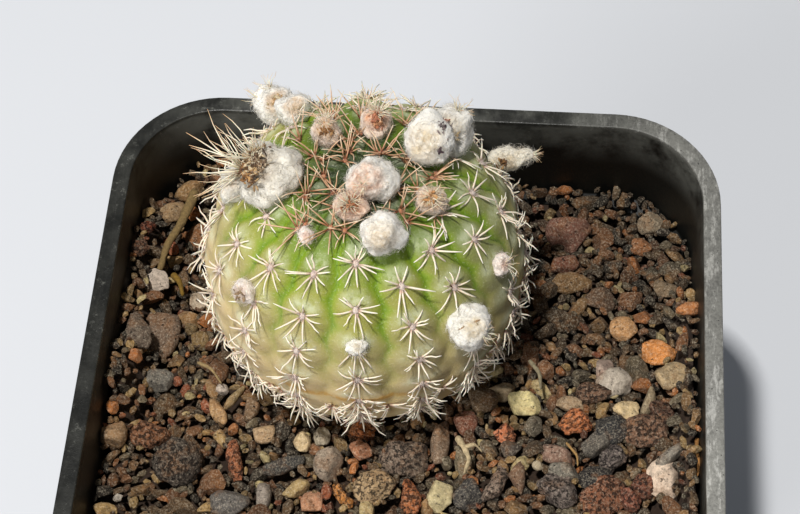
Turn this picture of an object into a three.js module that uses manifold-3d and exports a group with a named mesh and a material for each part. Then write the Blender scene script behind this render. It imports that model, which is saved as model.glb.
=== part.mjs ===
// A small ball cactus with woolly buds and dry fruits, in a square nursery pot filled with gravel.
// Millimetres. +Z is up and -Y faces the viewer. The origin is the middle of the pot's flat underside.

import * as THREE from 'three';
import * as BufferGeometryUtils from 'three/addons/utils/BufferGeometryUtils.js';
import Module from 'manifold-3d';

const wasm = await Module();
wasm.setup();

const DEGREE = Math.PI / 180;
const GAP = 0.3;

// Pot: a tapered square with round corners, a straight collar and a narrow lip
const POT_HEIGHT = 55;
const LIP_HALF_WIDTH = 30;
const LIP_HEIGHT = 1.6;
const LIP_OVERHANG = 0.7;
const LIP_ROUND = 0.4;
const WALL = 1.0;
const FLOOR = 1.4;
const COLLAR_HEIGHT = 12;
const COLLAR_DRAFT = 0.3;
const SHOULDER_STEP = 1.2;
const SHOULDER_DROP = 0.8;
const FOOT_HALF_WIDTH = 22.5;
const LIP_CORNER_RADIUS = 9.9;
const FOOT_CORNER_RADIUS = 7.4;
const CORNER_STEPS = 6;
const DRAIN_RADIUS = 2.5;
const DRAIN_OFFSET = 13;

// Gravel: it lies lower at the back than in front, and packed grains of a six-sided pattern cover it
const SOIL_FRONT = 46.4;
const SOIL_BACK = 42.4;
const SOIL_RISE_FROM = -8;
const SOIL_RISE_TO = 27;
const SOIL_WAVE = 0.35;
const SOIL_WAVE_LENGTH = 16;
const GRAIN_CELL = 4.6;
const GRAIN_STRAY = 0.27;
const GRAIN_TOP_SHARE = 0.7;
const GRAIN_RISE_MIN = 0.7;
const GRAIN_RISE_MAX = 2.2;
const GRAIN_BULGE = 0.3;
const GRAIN_TILT = 0.35;
const GRAIN_SEED = 41;

// Stem: a ball of sixteen low ribs broken into warts, with a short taproot
const STEM_RADIUS = 15.2;
const STEM_POSITION = new THREE.Vector3(-4.0, 10.2, 57.0);
const CROWN_SINK = 0.9;
const CROWN_SPREAD = 16 * DEGREE;
const ROOT_START = 148 * DEGREE;
const ROOT_REACH = 22;
const RIB_COUNT = 16;
const RIB_DEPTH = 1.0;
const WART_DEPTH = 0.55;
const FIRST_RIB = -65 * DEGREE;
const RIB_STAGGER = 0.625;
const RIB_TOP_SHARE = 0.4;
const ROW_ANGLE = 6.8 * DEGREE;
const SEAT_ROW_ANGLE = 10 * DEGREE;
const SEAT_COLUMNS = 24;
const RELIEF_FULL_FROM = 48 * DEGREE;
const RELIEF_FADE_FROM = 118 * DEGREE;
const RELIEF_FADE_TO = 140 * DEGREE;

// Areoles: the spine cushions, one on each wart, closer together further down the rib
const FIRST_AREOLE = 10 * DEGREE;
const AREOLE_STEP = 17.5 * DEGREE;
const AREOLE_SHRINK = 0.93;
const LAST_AREOLE = 112 * DEGREE;

// Spines
const SPINES_PER_AREOLE = 5;
const SPINE_LENGTH = 2.7;
const SPINE_RADIUS = 0.11;
const SPINE_ROOT_DEPTH = 0.5;
const AREOLE_RADIUS = 0.26;
const SPINE_LEAN = 35 * DEGREE;
const CROWN_SPINE_LENGTH = 2.0;
const CROWN_SPINE_LEAN = 58 * DEGREE;
const CROWN_EDGE = 30 * DEGREE;
const LOW_SPINES_FROM = 92 * DEGREE;
const LOW_SPINE_LEAN = 30 * DEGREE;
const LOW_SPINE_FAN = 160 * DEGREE;
const SPINE_LENGTH_SPREAD = 0.13;
const SPINE_LEAN_SPREAD = 0.15;
const SHORT_SPINE_SHARE = 0.6;
const SPINE_CLEARANCE = 0.45;
const SPINE_SEED = 7;

// Buds and fruits. Each lobe: latitude and longitude on the stem in degrees, size along the rib, across
// it and outward, and how far its middle stands out of the stem. A lobe with an aim points to another
// latitude and longitude. Bristles leave from one place in the wool, at a latitude, longitude and lift,
// and fan about an aim.
const BUDS = [
  {
    name: 'fruit_left',
    colour: '#dcd6cb',
    detail: 2,
    lobes: [{ at: [61, -176], size: [6.8, 6.0, 5.4], lift: 1.5 }],
    bristles: { count: 15, at: [52, 178], lift: 2.4, aim: [22, 176], spread: 52, length: 5.2 },
  },
  {
    name: 'fruit_back_left',
    colour: '#e6e1d8',
    detail: 2,
    lobes: [
      { at: [34, 130], size: [4.6, 4.2, 4.4], lift: 1.5 },
      { at: [47, 129], size: [3.4, 3.4, 3.0], lift: 0.9 },
    ],
    bristles: { count: 5, at: [34, 130], lift: 3.0, aim: [48, 129], spread: 40, length: 1.6 },
  },
  {
    name: 'fruit_back_right',
    colour: '#e9e6e0',
    detail: 2,
    lobes: [
      { at: [67, 26], size: [5.0, 4.4, 4.4], lift: 1.5 },
      { at: [53, 38], size: [4.8, 4.4, 4.4], lift: 1.4 },
    ],
    bristles: { count: 4, at: [48, 39], lift: 2.8, aim: [26, 40], spread: 45, length: 1.8 },
  },
  {
    name: 'bud_right_pointed',
    colour: '#ebe6dc',
    detail: 1,
    lobes: [{ at: [25, 29], size: [2.4, 2.6, 4.4], lift: 1.7, aim: [8, 8] }],
    bristles: { count: 4, at: [23, 26], lift: 2.6, aim: [8, 8], spread: 20, length: 2.2 },
  },
  {
    name: 'bud_crown',
    colour: '#e8ddd4',
    detail: 2,
    lobes: [{ at: [82, -50], size: [4.4, 4.6, 4.2], lift: 1.0 }],
  },
  {
    name: 'bud_crown_brown',
    colour: '#b08a72',
    detail: 1,
    lobes: [{ at: [73, -93], size: [3.0, 3.2, 3.2], lift: 0.6 }],
    bristles: { count: 5, at: [73, -93], lift: 1.8, aim: [60, -110], spread: 55, length: 1.6 },
  },
  {
    name: 'bud_front_top',
    colour: '#efece6',
    detail: 2,
    lobes: [{ at: [64, -67], size: [4.2, 4.5, 4.2], lift: 1.3 }],
  },
  {
    name: 'bud_pink_right',
    colour: '#d9a98c',
    detail: 1,
    lobes: [{ at: [64, -21], size: [2.9, 2.6, 3.0], lift: 0.7 }],
    bristles: { count: 6, at: [64, -21], lift: 1.7, aim: [64, -21], spread: 60, length: 1.9 },
  },
  {
    name: 'bud_pink_left',
    colour: '#c9a389',
    detail: 1,
    lobes: [{ at: [72, 131], size: [3.0, 2.7, 3.2], lift: 0.7 }],
    bristles: { count: 6, at: [72, 131], lift: 1.7, aim: [72, 131], spread: 60, length: 2.2 },
  },
  {
    name: 'bud_pink_back',
    colour: '#d3a48c',
    detail: 1,
    lobes: [{ at: [70, 77], size: [3.0, 2.7, 3.2], lift: 0.7 }],
    bristles: { count: 6, at: [70, 77], lift: 1.7, aim: [70, 77], spread: 60, length: 2.2 },
  },
  {
    name: 'bud_small_left',
    colour: '#ecdfda',
    detail: 1,
    lobes: [{ at: [61, -122], size: [1.5, 1.5, 1.5], lift: 0.6 }],
  },
  {
    name: 'bud_lower_right',
    colour: '#f0eeea',
    detail: 2,
    lobes: [{ at: [23, -46], size: [4.2, 4.3, 4.0], lift: 1.2 }],
    bristles: { count: 5, at: [23, -41], lift: 2.4, aim: [20, -14], spread: 36, length: 1.8 },
  },
  {
    name: 'bud_lower_front',
    colour: '#eeeae4',
    detail: 1,
    lobes: [{ at: [28, -87], size: [1.5, 1.8, 1.5], lift: 0.4 }],
    bristles: { count: 5, at: [27, -87], lift: 0.8, aim: [-25, -88], spread: 42, length: 1.7 },
  },
  {
    name: 'bud_lower_left',
    colour: '#e4d5cf',
    detail: 1,
    lobes: [{ at: [31, -137], size: [2.2, 2.3, 1.8], lift: 0.5 }],
    bristles: { count: 4, at: [31, -137], lift: 0.9, aim: [31, -137], spread: 60, length: 1.4 },
  },
  {
    name: 'bud_side_right',
    colour: '#dccfc8',
    detail: 1,
    lobes: [{ at: [28, -19], size: [1.7, 2.0, 1.7], lift: 0.4 }],
    bristles: { count: 4, at: [28, -19], lift: 0.8, aim: [14, 0], spread: 45, length: 1.9 },
  },
];
const BRISTLE_RADIUS = 0.13;
const BRISTLE_LENGTH_SPREAD = 0.18;
const WOOL_RELIEF = 0.09;
const WOOL_PHASE_STEP = 1.7;
const BUD_SEED = 23;

// Larger loose stones: place on the gravel, size along X, Y and Z, and turn about Z in degrees
const STONES = [
  { name: 'stone_cream', colour: '#cbb684', at: [11.8, 0.6], size: [4.0, 2.9, 2.6], turn: 8 },
  { name: 'stone_orange_porous', colour: '#b9683c', at: [16.6, -1.2], size: [4.4, 3.7, 3.0], turn: -10 },
  { name: 'stone_orange_right', colour: '#b8703d', at: [24.7, 7.6], size: [4.4, 3.2, 2.8], turn: 14 },
  { name: 'stone_tan', colour: '#a98660', at: [-1.8, -9.2], size: [5.2, 4.4, 3.0], turn: 20 },
  { name: 'stone_pink_white', colour: '#cdb09c', at: [25.0, -7.0], size: [3.6, 4.6, 3.4], turn: 0 },
  { name: 'stone_grey_right', colour: '#8f857a', at: [20.4, 3.8], size: [4.2, 3.8, 3.0], turn: 25 },
  { name: 'stone_brown_back', colour: '#6e4a38', at: [15.6, 22.4], size: [6.0, 4.4, 4.0], turn: -5 },
  { name: 'stone_black_porous', colour: '#4b4644', at: [15.2, -8.6], size: [5.0, 4.4, 3.4], turn: 12 },
  { name: 'stone_red_brown', colour: '#6b4636', at: [23.2, -1.6], size: [5.8, 3.6, 3.2], turn: 24 },
  { name: 'stone_flat_left', colour: '#5f4f45', at: [-24.3, 6.6], size: [4.4, 6.2, 2.2], turn: -12 },
  { name: 'stone_dark_left', colour: '#3d3733', at: [-20.6, -8.2], size: [6.2, 5.6, 4.2], turn: 30 },
];
const STONE_LIFT = 1.3;
const STONE_ROUGHNESS = 0.3;
const STONE_SEED = 90;
// How near a twenty-sided ball's flats come to its middle, as a share of its corners
const NEST_FLAT_SHARE = 0.795;

// A six-sided pattern: the spacing of its rows, and the steps from a cell to the six round it
const ROW_SPACING = Math.sqrt(3) / 2;
const NEIGHBOUR_STEPS = [[1, 0], [0, 1], [-1, 1], [-1, 0], [0, -1], [1, -1]];

// A repeatable stream of numbers from 0 to 1
function randomStream(seed) {
  let state = seed;
  return () => {
    state = (state + 0x6d2b79f5) | 0;
    let mixed = Math.imul(state ^ (state >>> 15), 1 | state);
    mixed = (mixed + Math.imul(mixed ^ (mixed >>> 7), 61 | mixed)) ^ mixed;
    return ((mixed ^ (mixed >>> 14)) >>> 0) / 4294967296;
  };
}

function between(random, low, high) {
  return low + (high - low) * random();
}

// A value moved up or down by up to a share of itself
function varied(random, value, share) {
  return value * between(random, 1 - share, 1 + share);
}

// Geometry with its shared corners merged, so that it closes
function welded(geometry) {
  const bare = geometry.clone();
  bare.deleteAttribute('normal');
  bare.deleteAttribute('uv');
  return BufferGeometryUtils.mergeVertices(bare);
}

function toSolid(geometry) {
  const mesh = welded(geometry);
  return new wasm.Manifold(new wasm.Mesh({
    numProp: 3,
    vertProperties: mesh.attributes.position.array,
    triVerts: mesh.index.array,
  }));
}

function toGeometry(solid) {
  const mesh = solid.getMesh();
  const geometry = new THREE.BufferGeometry();
  geometry.setAttribute('position', new THREE.BufferAttribute(mesh.vertProperties, 3));
  geometry.setIndex(new THREE.BufferAttribute(mesh.triVerts, 1));
  geometry.computeVertexNormals();
  return geometry;
}

function joined(solids) {
  return solids.reduce((sum, solid) => sum.add(solid));
}

// The biggest of the bodies that a cut left
function largestBody(solid) {
  const bodies = solid.decompose();
  return bodies.reduce((best, body) => (body.volume() > best.volume() ? body : best));
}

function piece(name, geometry, colour, roughness) {
  const material = new THREE.MeshStandardMaterial({ color: colour, roughness, metalness: 0 });
  const mesh = new THREE.Mesh(geometry, material);
  mesh.name = name;
  return mesh;
}

// A geometry from corner points and triangles
function indexed(points, triangles) {
  const geometry = new THREE.BufferGeometry();
  geometry.setFromPoints(points);
  geometry.setIndex(triangles);
  return geometry;
}

// Points of a square with round corners, anticlockwise
function squareOutline(halfWidth, radius) {
  const points = [];
  for (let corner = 0; corner < 4; corner += 1) {
    for (let step = 0; step <= CORNER_STEPS; step += 1) {
      const angle = (corner + step / CORNER_STEPS) * 90 * DEGREE;
      const middle = (corner * 90 + 45) * DEGREE;
      const inset = (halfWidth - radius) * Math.SQRT2;
      points.push(new THREE.Vector2(
        inset * Math.cos(middle) + radius * Math.cos(angle),
        inset * Math.sin(middle) + radius * Math.sin(angle),
      ));
    }
  }
  return points;
}

// A closed body through rings of points, each end closed to its middle point
function loft(rings, bottom, top) {
  const count = rings[0].length;
  const points = rings.flat();
  const bottomIndex = points.push(bottom) - 1;
  const topIndex = points.push(top) - 1;
  const triangles = [];
  for (let side = 0; side < count; side += 1) {
    const next = (side + 1) % count;
    for (let ring = 0; ring < rings.length - 1; ring += 1) {
      const low = ring * count;
      const high = low + count;
      triangles.push(low + side, low + next, high + next);
      triangles.push(low + side, high + next, high + side);
    }
    const last = (rings.length - 1) * count;
    triangles.push(bottomIndex, next, side);
    triangles.push(topIndex, last + side, last + next);
  }
  return indexed(points, triangles);
}

function cornerRadius(z) {
  return THREE.MathUtils.lerp(FOOT_CORNER_RADIUS, LIP_CORNER_RADIUS - LIP_OVERHANG, z / POT_HEIGHT);
}

const COLLAR_HALF_WIDTH = LIP_HALF_WIDTH - LIP_OVERHANG;
const SHOULDER_Z = POT_HEIGHT - COLLAR_HEIGHT;
const TAPER_TOP_HALF_WIDTH = COLLAR_HALF_WIDTH - COLLAR_DRAFT - SHOULDER_STEP;

// Height and half width of the pot's outer wall from the foot to the lip
const OUTER_WALL = [
  [0, FOOT_HALF_WIDTH],
  [SHOULDER_Z - SHOULDER_DROP, TAPER_TOP_HALF_WIDTH],
  [SHOULDER_Z, COLLAR_HALF_WIDTH - COLLAR_DRAFT],
  [POT_HEIGHT, COLLAR_HALF_WIDTH],
];

// Half width of the outer wall at a height
function wallHalfWidth(z) {
  for (let step = 1; step < OUTER_WALL.length; step += 1) {
    const [lowZ, lowHalf] = OUTER_WALL[step - 1];
    const [highZ, highHalf] = OUTER_WALL[step];
    if (z <= highZ) {
      return THREE.MathUtils.mapLinear(z, lowZ, highZ, lowHalf, highHalf);
    }
  }
  return COLLAR_HALF_WIDTH;
}

// The wall's outline at a height, moved inward
function wallRing(z, inset) {
  const outline = squareOutline(wallHalfWidth(z) - inset, cornerRadius(z) - inset);
  return outline.map((point) => new THREE.Vector3(point.x, point.y, z));
}

function makePot() {
  const onAxis = (z) => new THREE.Vector3(0, 0, z);
  const lipZ = POT_HEIGHT - LIP_HEIGHT;
  const outerRings = OUTER_WALL.slice(0, -1).map(([z]) => wallRing(z, 0));
  outerRings.push(
    wallRing(lipZ, 0),
    wallRing(lipZ + LIP_OVERHANG / 2, -LIP_OVERHANG),
    wallRing(POT_HEIGHT - LIP_ROUND, -LIP_OVERHANG),
    wallRing(POT_HEIGHT, LIP_ROUND - LIP_OVERHANG),
  );
  const innerHeights = [FLOOR, SHOULDER_Z - SHOULDER_DROP, SHOULDER_Z, POT_HEIGHT];
  const innerRings = innerHeights.map((z) => wallRing(z, WALL));
  const mouth = innerRings[innerRings.length - 1].map((point) => point.clone().setZ(POT_HEIGHT + 1));
  innerRings.push(mouth);
  let pot = toSolid(loft(outerRings, onAxis(0), onAxis(POT_HEIGHT)));
  pot = pot.subtract(toSolid(loft(innerRings, onAxis(FLOOR), onAxis(POT_HEIGHT + 1))));
  for (const x of [-DRAIN_OFFSET, DRAIN_OFFSET]) {
    for (const y of [-DRAIN_OFFSET, DRAIN_OFFSET]) {
      const hole = new THREE.CylinderGeometry(DRAIN_RADIUS, DRAIN_RADIUS, 4 * FLOOR, 12);
      hole.rotateX(90 * DEGREE);
      hole.translate(x, y, 0);
      pot = pot.subtract(toSolid(hole));
    }
  }
  return piece('pot', toGeometry(pot), '#1d1e20', 0.55);
}

// Height of the bed between the grains
function soilTop(x, y) {
  const slope = THREE.MathUtils.smoothstep(y, SOIL_RISE_FROM, SOIL_RISE_TO);
  const turn = 2 * Math.PI / SOIL_WAVE_LENGTH;
  return THREE.MathUtils.lerp(SOIL_FRONT, SOIL_BACK, slope)
    + SOIL_WAVE * Math.sin(turn * x) * Math.cos(turn * y);
}

// Distance of the stem's ridges from its middle at an angle from the crown
function stemEnvelope(angle) {
  const sink = CROWN_SINK * Math.exp(-((angle / CROWN_SPREAD) ** 2));
  const root = THREE.MathUtils.smoothstep(angle, ROOT_START, Math.PI);
  return STEM_RADIUS - sink + (ROOT_REACH - STEM_RADIUS) * root;
}

// Angle from the crown of a place counted in areoles along its rib, and the count at an angle
function areoleAngle(count) {
  return FIRST_AREOLE + AREOLE_STEP * (1 - AREOLE_SHRINK ** count) / (1 - AREOLE_SHRINK);
}

function areoleCount(angle) {
  const travelled = (angle - FIRST_AREOLE) * (1 - AREOLE_SHRINK) / AREOLE_STEP;
  return Math.log(1 - travelled) / Math.log(AREOLE_SHRINK);
}

// Depth below the envelope: a furrow between ribs and a dip between the warts of a rib
function stemDepth(angle, longitude) {
  const position = (FIRST_RIB - longitude) * RIB_COUNT / (2 * Math.PI);
  const rib = Math.round(position);
  const count = areoleCount(angle) + RIB_STAGGER * rib;
  const offTop = Math.max(Math.abs(position - rib) - RIB_TOP_SHARE / 2, 0);
  const acrossRib = 1 - offTop / (0.5 - RIB_TOP_SHARE / 2);
  const alongRib = Math.cos(Math.PI * (count - Math.round(count))) ** 2;
  const shown = THREE.MathUtils.smoothstep(angle, 0, RELIEF_FULL_FROM);
  const buried = THREE.MathUtils.smoothstep(angle, RELIEF_FADE_FROM, RELIEF_FADE_TO);
  const relief = RIB_DEPTH * (1 - acrossRib) + WART_DEPTH * acrossRib * (1 - alongRib);
  return relief * shown * (1 - buried);
}

// Unit vector from the stem's middle, from an angle from the crown and a longitude
function towards(angle, longitude) {
  return new THREE.Vector3(
    Math.sin(angle) * Math.cos(longitude),
    Math.sin(angle) * Math.sin(longitude),
    Math.cos(angle),
  );
}

// Longitudes evenly round the stem
function evenLongitudes(count) {
  return Array.from({ length: count }, (_, index) => index * 2 * Math.PI / count);
}

// Longitudes of each furrow and of both edges of each rib's top
function ribLongitudes() {
  const ribAngle = 2 * Math.PI / RIB_COUNT;
  const places = [-0.5, -RIB_TOP_SHARE / 2, RIB_TOP_SHARE / 2];
  return evenLongitudes(RIB_COUNT).flatMap((middle) => (
    places.map((place) => FIRST_RIB + middle + place * ribAngle)
  ));
}

// A closed surface around the stem's middle from its distance in each direction
function radialSurface(distance, longitudes, rowAngle) {
  const angles = [];
  for (let angle = rowAngle; angle < Math.PI - rowAngle / 2; angle += rowAngle) {
    angles.push(angle);
  }
  angles.reverse();
  const rings = angles.map((angle) => longitudes.map((longitude) => (
    towards(angle, longitude).multiplyScalar(distance(angle, longitude))
  )));
  const bottom = towards(Math.PI, 0).multiplyScalar(distance(Math.PI, 0));
  const top = towards(0, 0).multiplyScalar(distance(0, 0));
  return loft(rings, bottom, top);
}

// The smooth surface that buds and gravel keep to, clear of the stem by the gap. Its flats would dip
// inside the gap, so its corners stand out by what a flat loses.
function seatSurface() {
  const flatLoss = Math.cos(Math.PI / SEAT_COLUMNS) * Math.cos(SEAT_ROW_ANGLE / 2);
  return radialSurface(
    (angle) => (stemEnvelope(angle) + GAP) / flatLoss,
    evenLongitudes(SEAT_COLUMNS),
    SEAT_ROW_ANGLE,
  );
}

// A three-sided needle from the middle of its base
function needle(base, direction, length, radius) {
  const geometry = new THREE.ConeGeometry(radius, length, 3);
  geometry.translate(0, length / 2, 0);
  const turn = new THREE.Quaternion().setFromUnitVectors(new THREE.Vector3(0, 1, 0), direction);
  geometry.applyQuaternion(turn);
  geometry.translate(base.x, base.y, base.z);
  return toSolid(geometry);
}

// Outward, down-rib and sideways directions at a place on the stem
function surfaceFrame(angle, longitude) {
  const out = towards(angle, longitude);
  const down = towards(angle + 90 * DEGREE, longitude);
  const side = new THREE.Vector3().crossVectors(out, down);
  return { out, down, side };
}

// A direction at a lean above the surface and a turn away from straight down the rib
function leaning(frame, lean, turn) {
  return new THREE.Vector3()
    .addScaledVector(frame.out, Math.sin(lean))
    .addScaledVector(frame.down, Math.cos(lean) * Math.cos(turn))
    .addScaledVector(frame.side, Math.cos(lean) * Math.sin(turn));
}

function latitudeFrame([latitude, longitude]) {
  return surfaceFrame((90 - latitude) * DEGREE, longitude * DEGREE);
}

// A lobe's place on the stem, and its axes, turned to its aim where it has one
function placedLobe({ at, size, lift, aim = at }) {
  const frame = latitudeFrame(aim);
  const centre = latitudeFrame(at).out.multiplyScalar(STEM_RADIUS + lift);
  const halfSize = new THREE.Vector3(size[0] / 2, size[1] / 2, size[2] / 2);
  return { frame, centre, halfSize };
}

// A lump of wool: a ball with low bulges, stretched to its size and grown by a margin
function woolLump(lobe, detail, phase, margin) {
  const geometry = welded(new THREE.IcosahedronGeometry(1, detail));
  const position = geometry.attributes.position;
  const point = new THREE.Vector3();
  const basis = new THREE.Matrix4().makeBasis(lobe.frame.down, lobe.frame.side, lobe.frame.out);
  basis.scale(lobe.halfSize.clone().addScalar(margin));
  basis.setPosition(lobe.centre);
  for (let index = 0; index < position.count; index += 1) {
    point.fromBufferAttribute(position, index);
    const bulge = Math.sin(5.1 * point.x + phase) * Math.sin(4.3 * point.y - phase)
      + Math.sin(4.7 * point.z + 2 * phase) * Math.cos(5.3 * point.x);
    point.multiplyScalar(1 + WOOL_RELIEF * bulge).applyMatrix4(basis);
    position.setXYZ(index, point.x, point.y, point.z);
  }
  return toSolid(geometry);
}

// Root, direction and length of each bristle of a bud, fanned about its aim
function placedBristles(bud, random) {
  if (!bud.bristles) {
    return [];
  }
  const { count, at, lift, aim, spread, length } = bud.bristles;
  const start = latitudeFrame(at).out.multiplyScalar(STEM_RADIUS + lift);
  const frame = latitudeFrame(aim);
  const bristles = [];
  for (let index = 0; index < count; index += 1) {
    const opening = spread * DEGREE * Math.sqrt((index + 0.5) / count);
    const turn = index * Math.PI * (3 - Math.sqrt(5));
    const direction = leaning(frame, 90 * DEGREE - opening, turn);
    bristles.push({ root: start, direction, length: varied(random, length, BRISTLE_LENGTH_SPREAD) });
  }
  return bristles;
}

const budRandom = randomStream(BUD_SEED);
const placedBuds = BUDS.map((bud, index) => ({
  name: bud.name,
  colour: bud.colour,
  detail: bud.detail,
  phase: index * WOOL_PHASE_STEP,
  lobes: bud.lobes.map(placedLobe),
  bristles: placedBristles(bud, budRandom),
}));

function budWool(bud, margin) {
  return joined(bud.lobes.map((lobe) => woolLump(lobe, bud.detail, bud.phase, margin)));
}

// Buds sit on the stem's ridges, and each is cut clear of the ones before it
function makeBuds() {
  const seat = toSolid(seatSurface());
  const made = [];
  return placedBuds.map((bud) => {
    const bristles = bud.bristles.map(({ root, direction, length }) => (
      needle(root, direction, length, BRISTLE_RADIUS)
    ));
    let solid = joined([budWool(bud, 0), ...bristles]).subtract(seat);
    for (const earlier of made) {
      solid = solid.subtract(budWool(earlier, GAP));
    }
    made.push(bud);
    return piece(bud.name, toGeometry(largestBody(solid)), bud.colour, 0.95);
  });
}

// An irregular stone: a closed shape of unit half size whose corners are moved in
function stoneGeometry(unitShape, random, halfSize) {
  const geometry = welded(unitShape);
  const position = geometry.attributes.position;
  const point = new THREE.Vector3();
  for (let index = 0; index < position.count; index += 1) {
    point.fromBufferAttribute(position, index);
    point.multiplyScalar(1 - STONE_ROUGHNESS * random()).multiply(halfSize);
    position.setXYZ(index, point.x, point.y, point.z);
  }
  return geometry;
}

// The larger stones with their places, and a plain nest for each that clears it by the gap
function placedStones() {
  return STONES.map(({ name, colour, at, size, turn }, index) => {
    const halfSize = new THREE.Vector3(size[0] / 2, size[1] / 2, size[2] / 2);
    const centre = new THREE.Vector3(at[0], at[1], soilTop(at[0], at[1]) + STONE_LIFT);
    const unitBall = new THREE.IcosahedronGeometry(1, 1);
    const shape = stoneGeometry(unitBall, randomStream(STONE_SEED + index), halfSize);
    shape.rotateZ(turn * DEGREE);
    const nestSize = halfSize.clone().addScalar(GAP).multiplyScalar(1 / NEST_FLAT_SHARE);
    const nest = new THREE.IcosahedronGeometry(1, 0).scale(nestSize.x, nestSize.y, nestSize.z);
    nest.rotateZ(turn * DEGREE).translate(centre.x, centre.y, centre.z);
    const reach = Math.max(halfSize.x, halfSize.y);
    return { name, colour, centre, shape, nest, reach };
  });
}

const stones = placedStones();

// The grains' middles in a six-sided pattern, each strayed, with its own height and tilt
function placedGrains() {
  const random = randomStream(GRAIN_SEED);
  const reach = Math.ceil(LIP_HALF_WIDTH / GRAIN_CELL) + 2;
  const grains = new Map();
  for (let row = -reach; row <= reach; row += 1) {
    for (let column = -reach; column <= reach; column += 1) {
      const step = column - Math.floor(row / 2);
      const x = (step + row / 2 + between(random, -GRAIN_STRAY, GRAIN_STRAY)) * GRAIN_CELL;
      const y = (row + between(random, -GRAIN_STRAY, GRAIN_STRAY)) * GRAIN_CELL * ROW_SPACING;
      grains.set(`${step},${row}`, {
        x,
        y,
        rise: between(random, GRAIN_RISE_MIN, GRAIN_RISE_MAX),
        tiltX: between(random, -GRAIN_TILT, GRAIN_TILT),
        tiltY: between(random, -GRAIN_TILT, GRAIN_TILT),
      });
    }
  }
  return grains;
}

// A surface whose open rim is carried down to the origin's level and closed there
function closedBelow(points, triangles) {
  const open = new Map();
  for (let first = 0; first < triangles.length; first += 3) {
    for (let side = 0; side < 3; side += 1) {
      const from = triangles[first + side];
      const to = triangles[first + (side + 1) % 3];
      if (!open.delete(`${to},${from}`)) {
        open.set(`${from},${to}`, [from, to]);
      }
    }
  }
  const closed = [...points, new THREE.Vector3()];
  const middle = points.length;
  const lowered = new Map();
  for (const [from] of open.values()) {
    lowered.set(from, closed.push(points[from].clone().setZ(0)) - 1);
  }
  const faces = [...triangles];
  for (const [from, to] of open.values()) {
    faces.push(lowered.get(from), lowered.get(to), to);
    faces.push(lowered.get(from), to, from);
    faces.push(middle, lowered.get(to), lowered.get(from));
  }
  return indexed(closed, faces);
}

// A block topped by the grains: each has a tilted top, and sides down to the corners that it shares
function gravelBlock() {
  const grains = placedGrains();
  const points = [];
  const triangles = [];
  const corners = new Map();
  for (const [key, grain] of grains) {
    const [step, row] = key.split(',').map(Number);
    const around = NEIGHBOUR_STEPS.map(([stepAway, rowAway]) => `${step + stepAway},${row + rowAway}`);
    if (!around.every((other) => grains.has(other))) {
      continue;
    }
    const ring = around.map((other, index) => {
      const meeting = [key, other, around[(index + 1) % around.length]].sort();
      const name = meeting.join(' ');
      if (!corners.has(name)) {
        const x = meeting.reduce((sum, each) => sum + grains.get(each).x, 0) / meeting.length;
        const y = meeting.reduce((sum, each) => sum + grains.get(each).y, 0) / meeting.length;
        corners.set(name, points.push(new THREE.Vector3(x, y, soilTop(x, y))) - 1);
      }
      return corners.get(name);
    });
    const height = soilTop(grain.x, grain.y) + grain.rise;
    const middle = points.push(new THREE.Vector3(grain.x, grain.y, height + GRAIN_BULGE)) - 1;
    const shoulder = ring.map((corner) => {
      const x = THREE.MathUtils.lerp(grain.x, points[corner].x, GRAIN_TOP_SHARE);
      const y = THREE.MathUtils.lerp(grain.y, points[corner].y, GRAIN_TOP_SHARE);
      const tilt = grain.tiltX * (x - grain.x) + grain.tiltY * (y - grain.y);
      return points.push(new THREE.Vector3(x, y, height + tilt)) - 1;
    });
    ring.forEach((corner, index) => {
      const next = (index + 1) % ring.length;
      triangles.push(middle, shoulder[index], shoulder[next]);
      triangles.push(shoulder[index], corner, ring[next]);
      triangles.push(shoulder[index], ring[next], shoulder[next]);
    });
  }
  return toSolid(closedBelow(points, triangles));
}

// The gravel fills the pot, with a plain hole for the stem and a nest for each larger stone
function makeSoil() {
  const heights = [FLOOR, SHOULDER_Z - SHOULDER_DROP, SHOULDER_Z, POT_HEIGHT];
  const rings = heights.map((z) => wallRing(z, WALL + GAP).map((point) => point.setZ(z + GAP)));
  const bottom = new THREE.Vector3(0, 0, FLOOR + GAP);
  const top = new THREE.Vector3(0, 0, POT_HEIGHT + GAP);
  const stemHole = seatSurface();
  stemHole.translate(STEM_POSITION.x, STEM_POSITION.y, STEM_POSITION.z);
  let soil = toSolid(loft(rings, bottom, top)).intersect(gravelBlock()).subtract(toSolid(stemHole));
  for (const { nest } of stones) {
    soil = soil.subtract(toSolid(nest));
  }
  return piece('soil', toGeometry(largestBody(soil)), '#5a4334', 0.95);
}

function makeStones() {
  return stones.map(({ name, colour, centre, shape }) => {
    const stone = piece(name, shape, colour, 0.9);
    stone.geometry.computeVertexNormals();
    stone.position.copy(centre);
    return stone;
  });
}

// Whether a point in the stem's frame is clear of the wool, the gravel and the pot
function isClear(point) {
  const clearOfWool = placedBuds.every(({ lobes }) => lobes.every(({ frame, centre, halfSize }) => {
    const offset = point.clone().sub(centre);
    const reach = halfSize.clone().multiplyScalar(1 + WOOL_RELIEF).addScalar(SPINE_CLEARANCE);
    return Math.hypot(
      offset.dot(frame.down) / reach.x,
      offset.dot(frame.side) / reach.y,
      offset.dot(frame.out) / reach.z,
    ) > 1;
  }));
  const place = point.clone().add(STEM_POSITION);
  const clearOfStones = stones.every(({ centre, reach }) => (
    place.distanceTo(centre) > reach + SPINE_CLEARANCE
  ));
  const clearOfGrains = place.z > soilTop(place.x, place.y) + GRAIN_RISE_MAX + SPINE_CLEARANCE;
  const room = wallHalfWidth(place.z) - WALL - SPINE_CLEARANCE;
  const clearOfPot = place.z > POT_HEIGHT + SPINE_CLEARANCE
    || Math.max(Math.abs(place.x), Math.abs(place.y)) < room;
  return clearOfWool && clearOfStones && clearOfGrains && clearOfPot;
}

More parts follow.
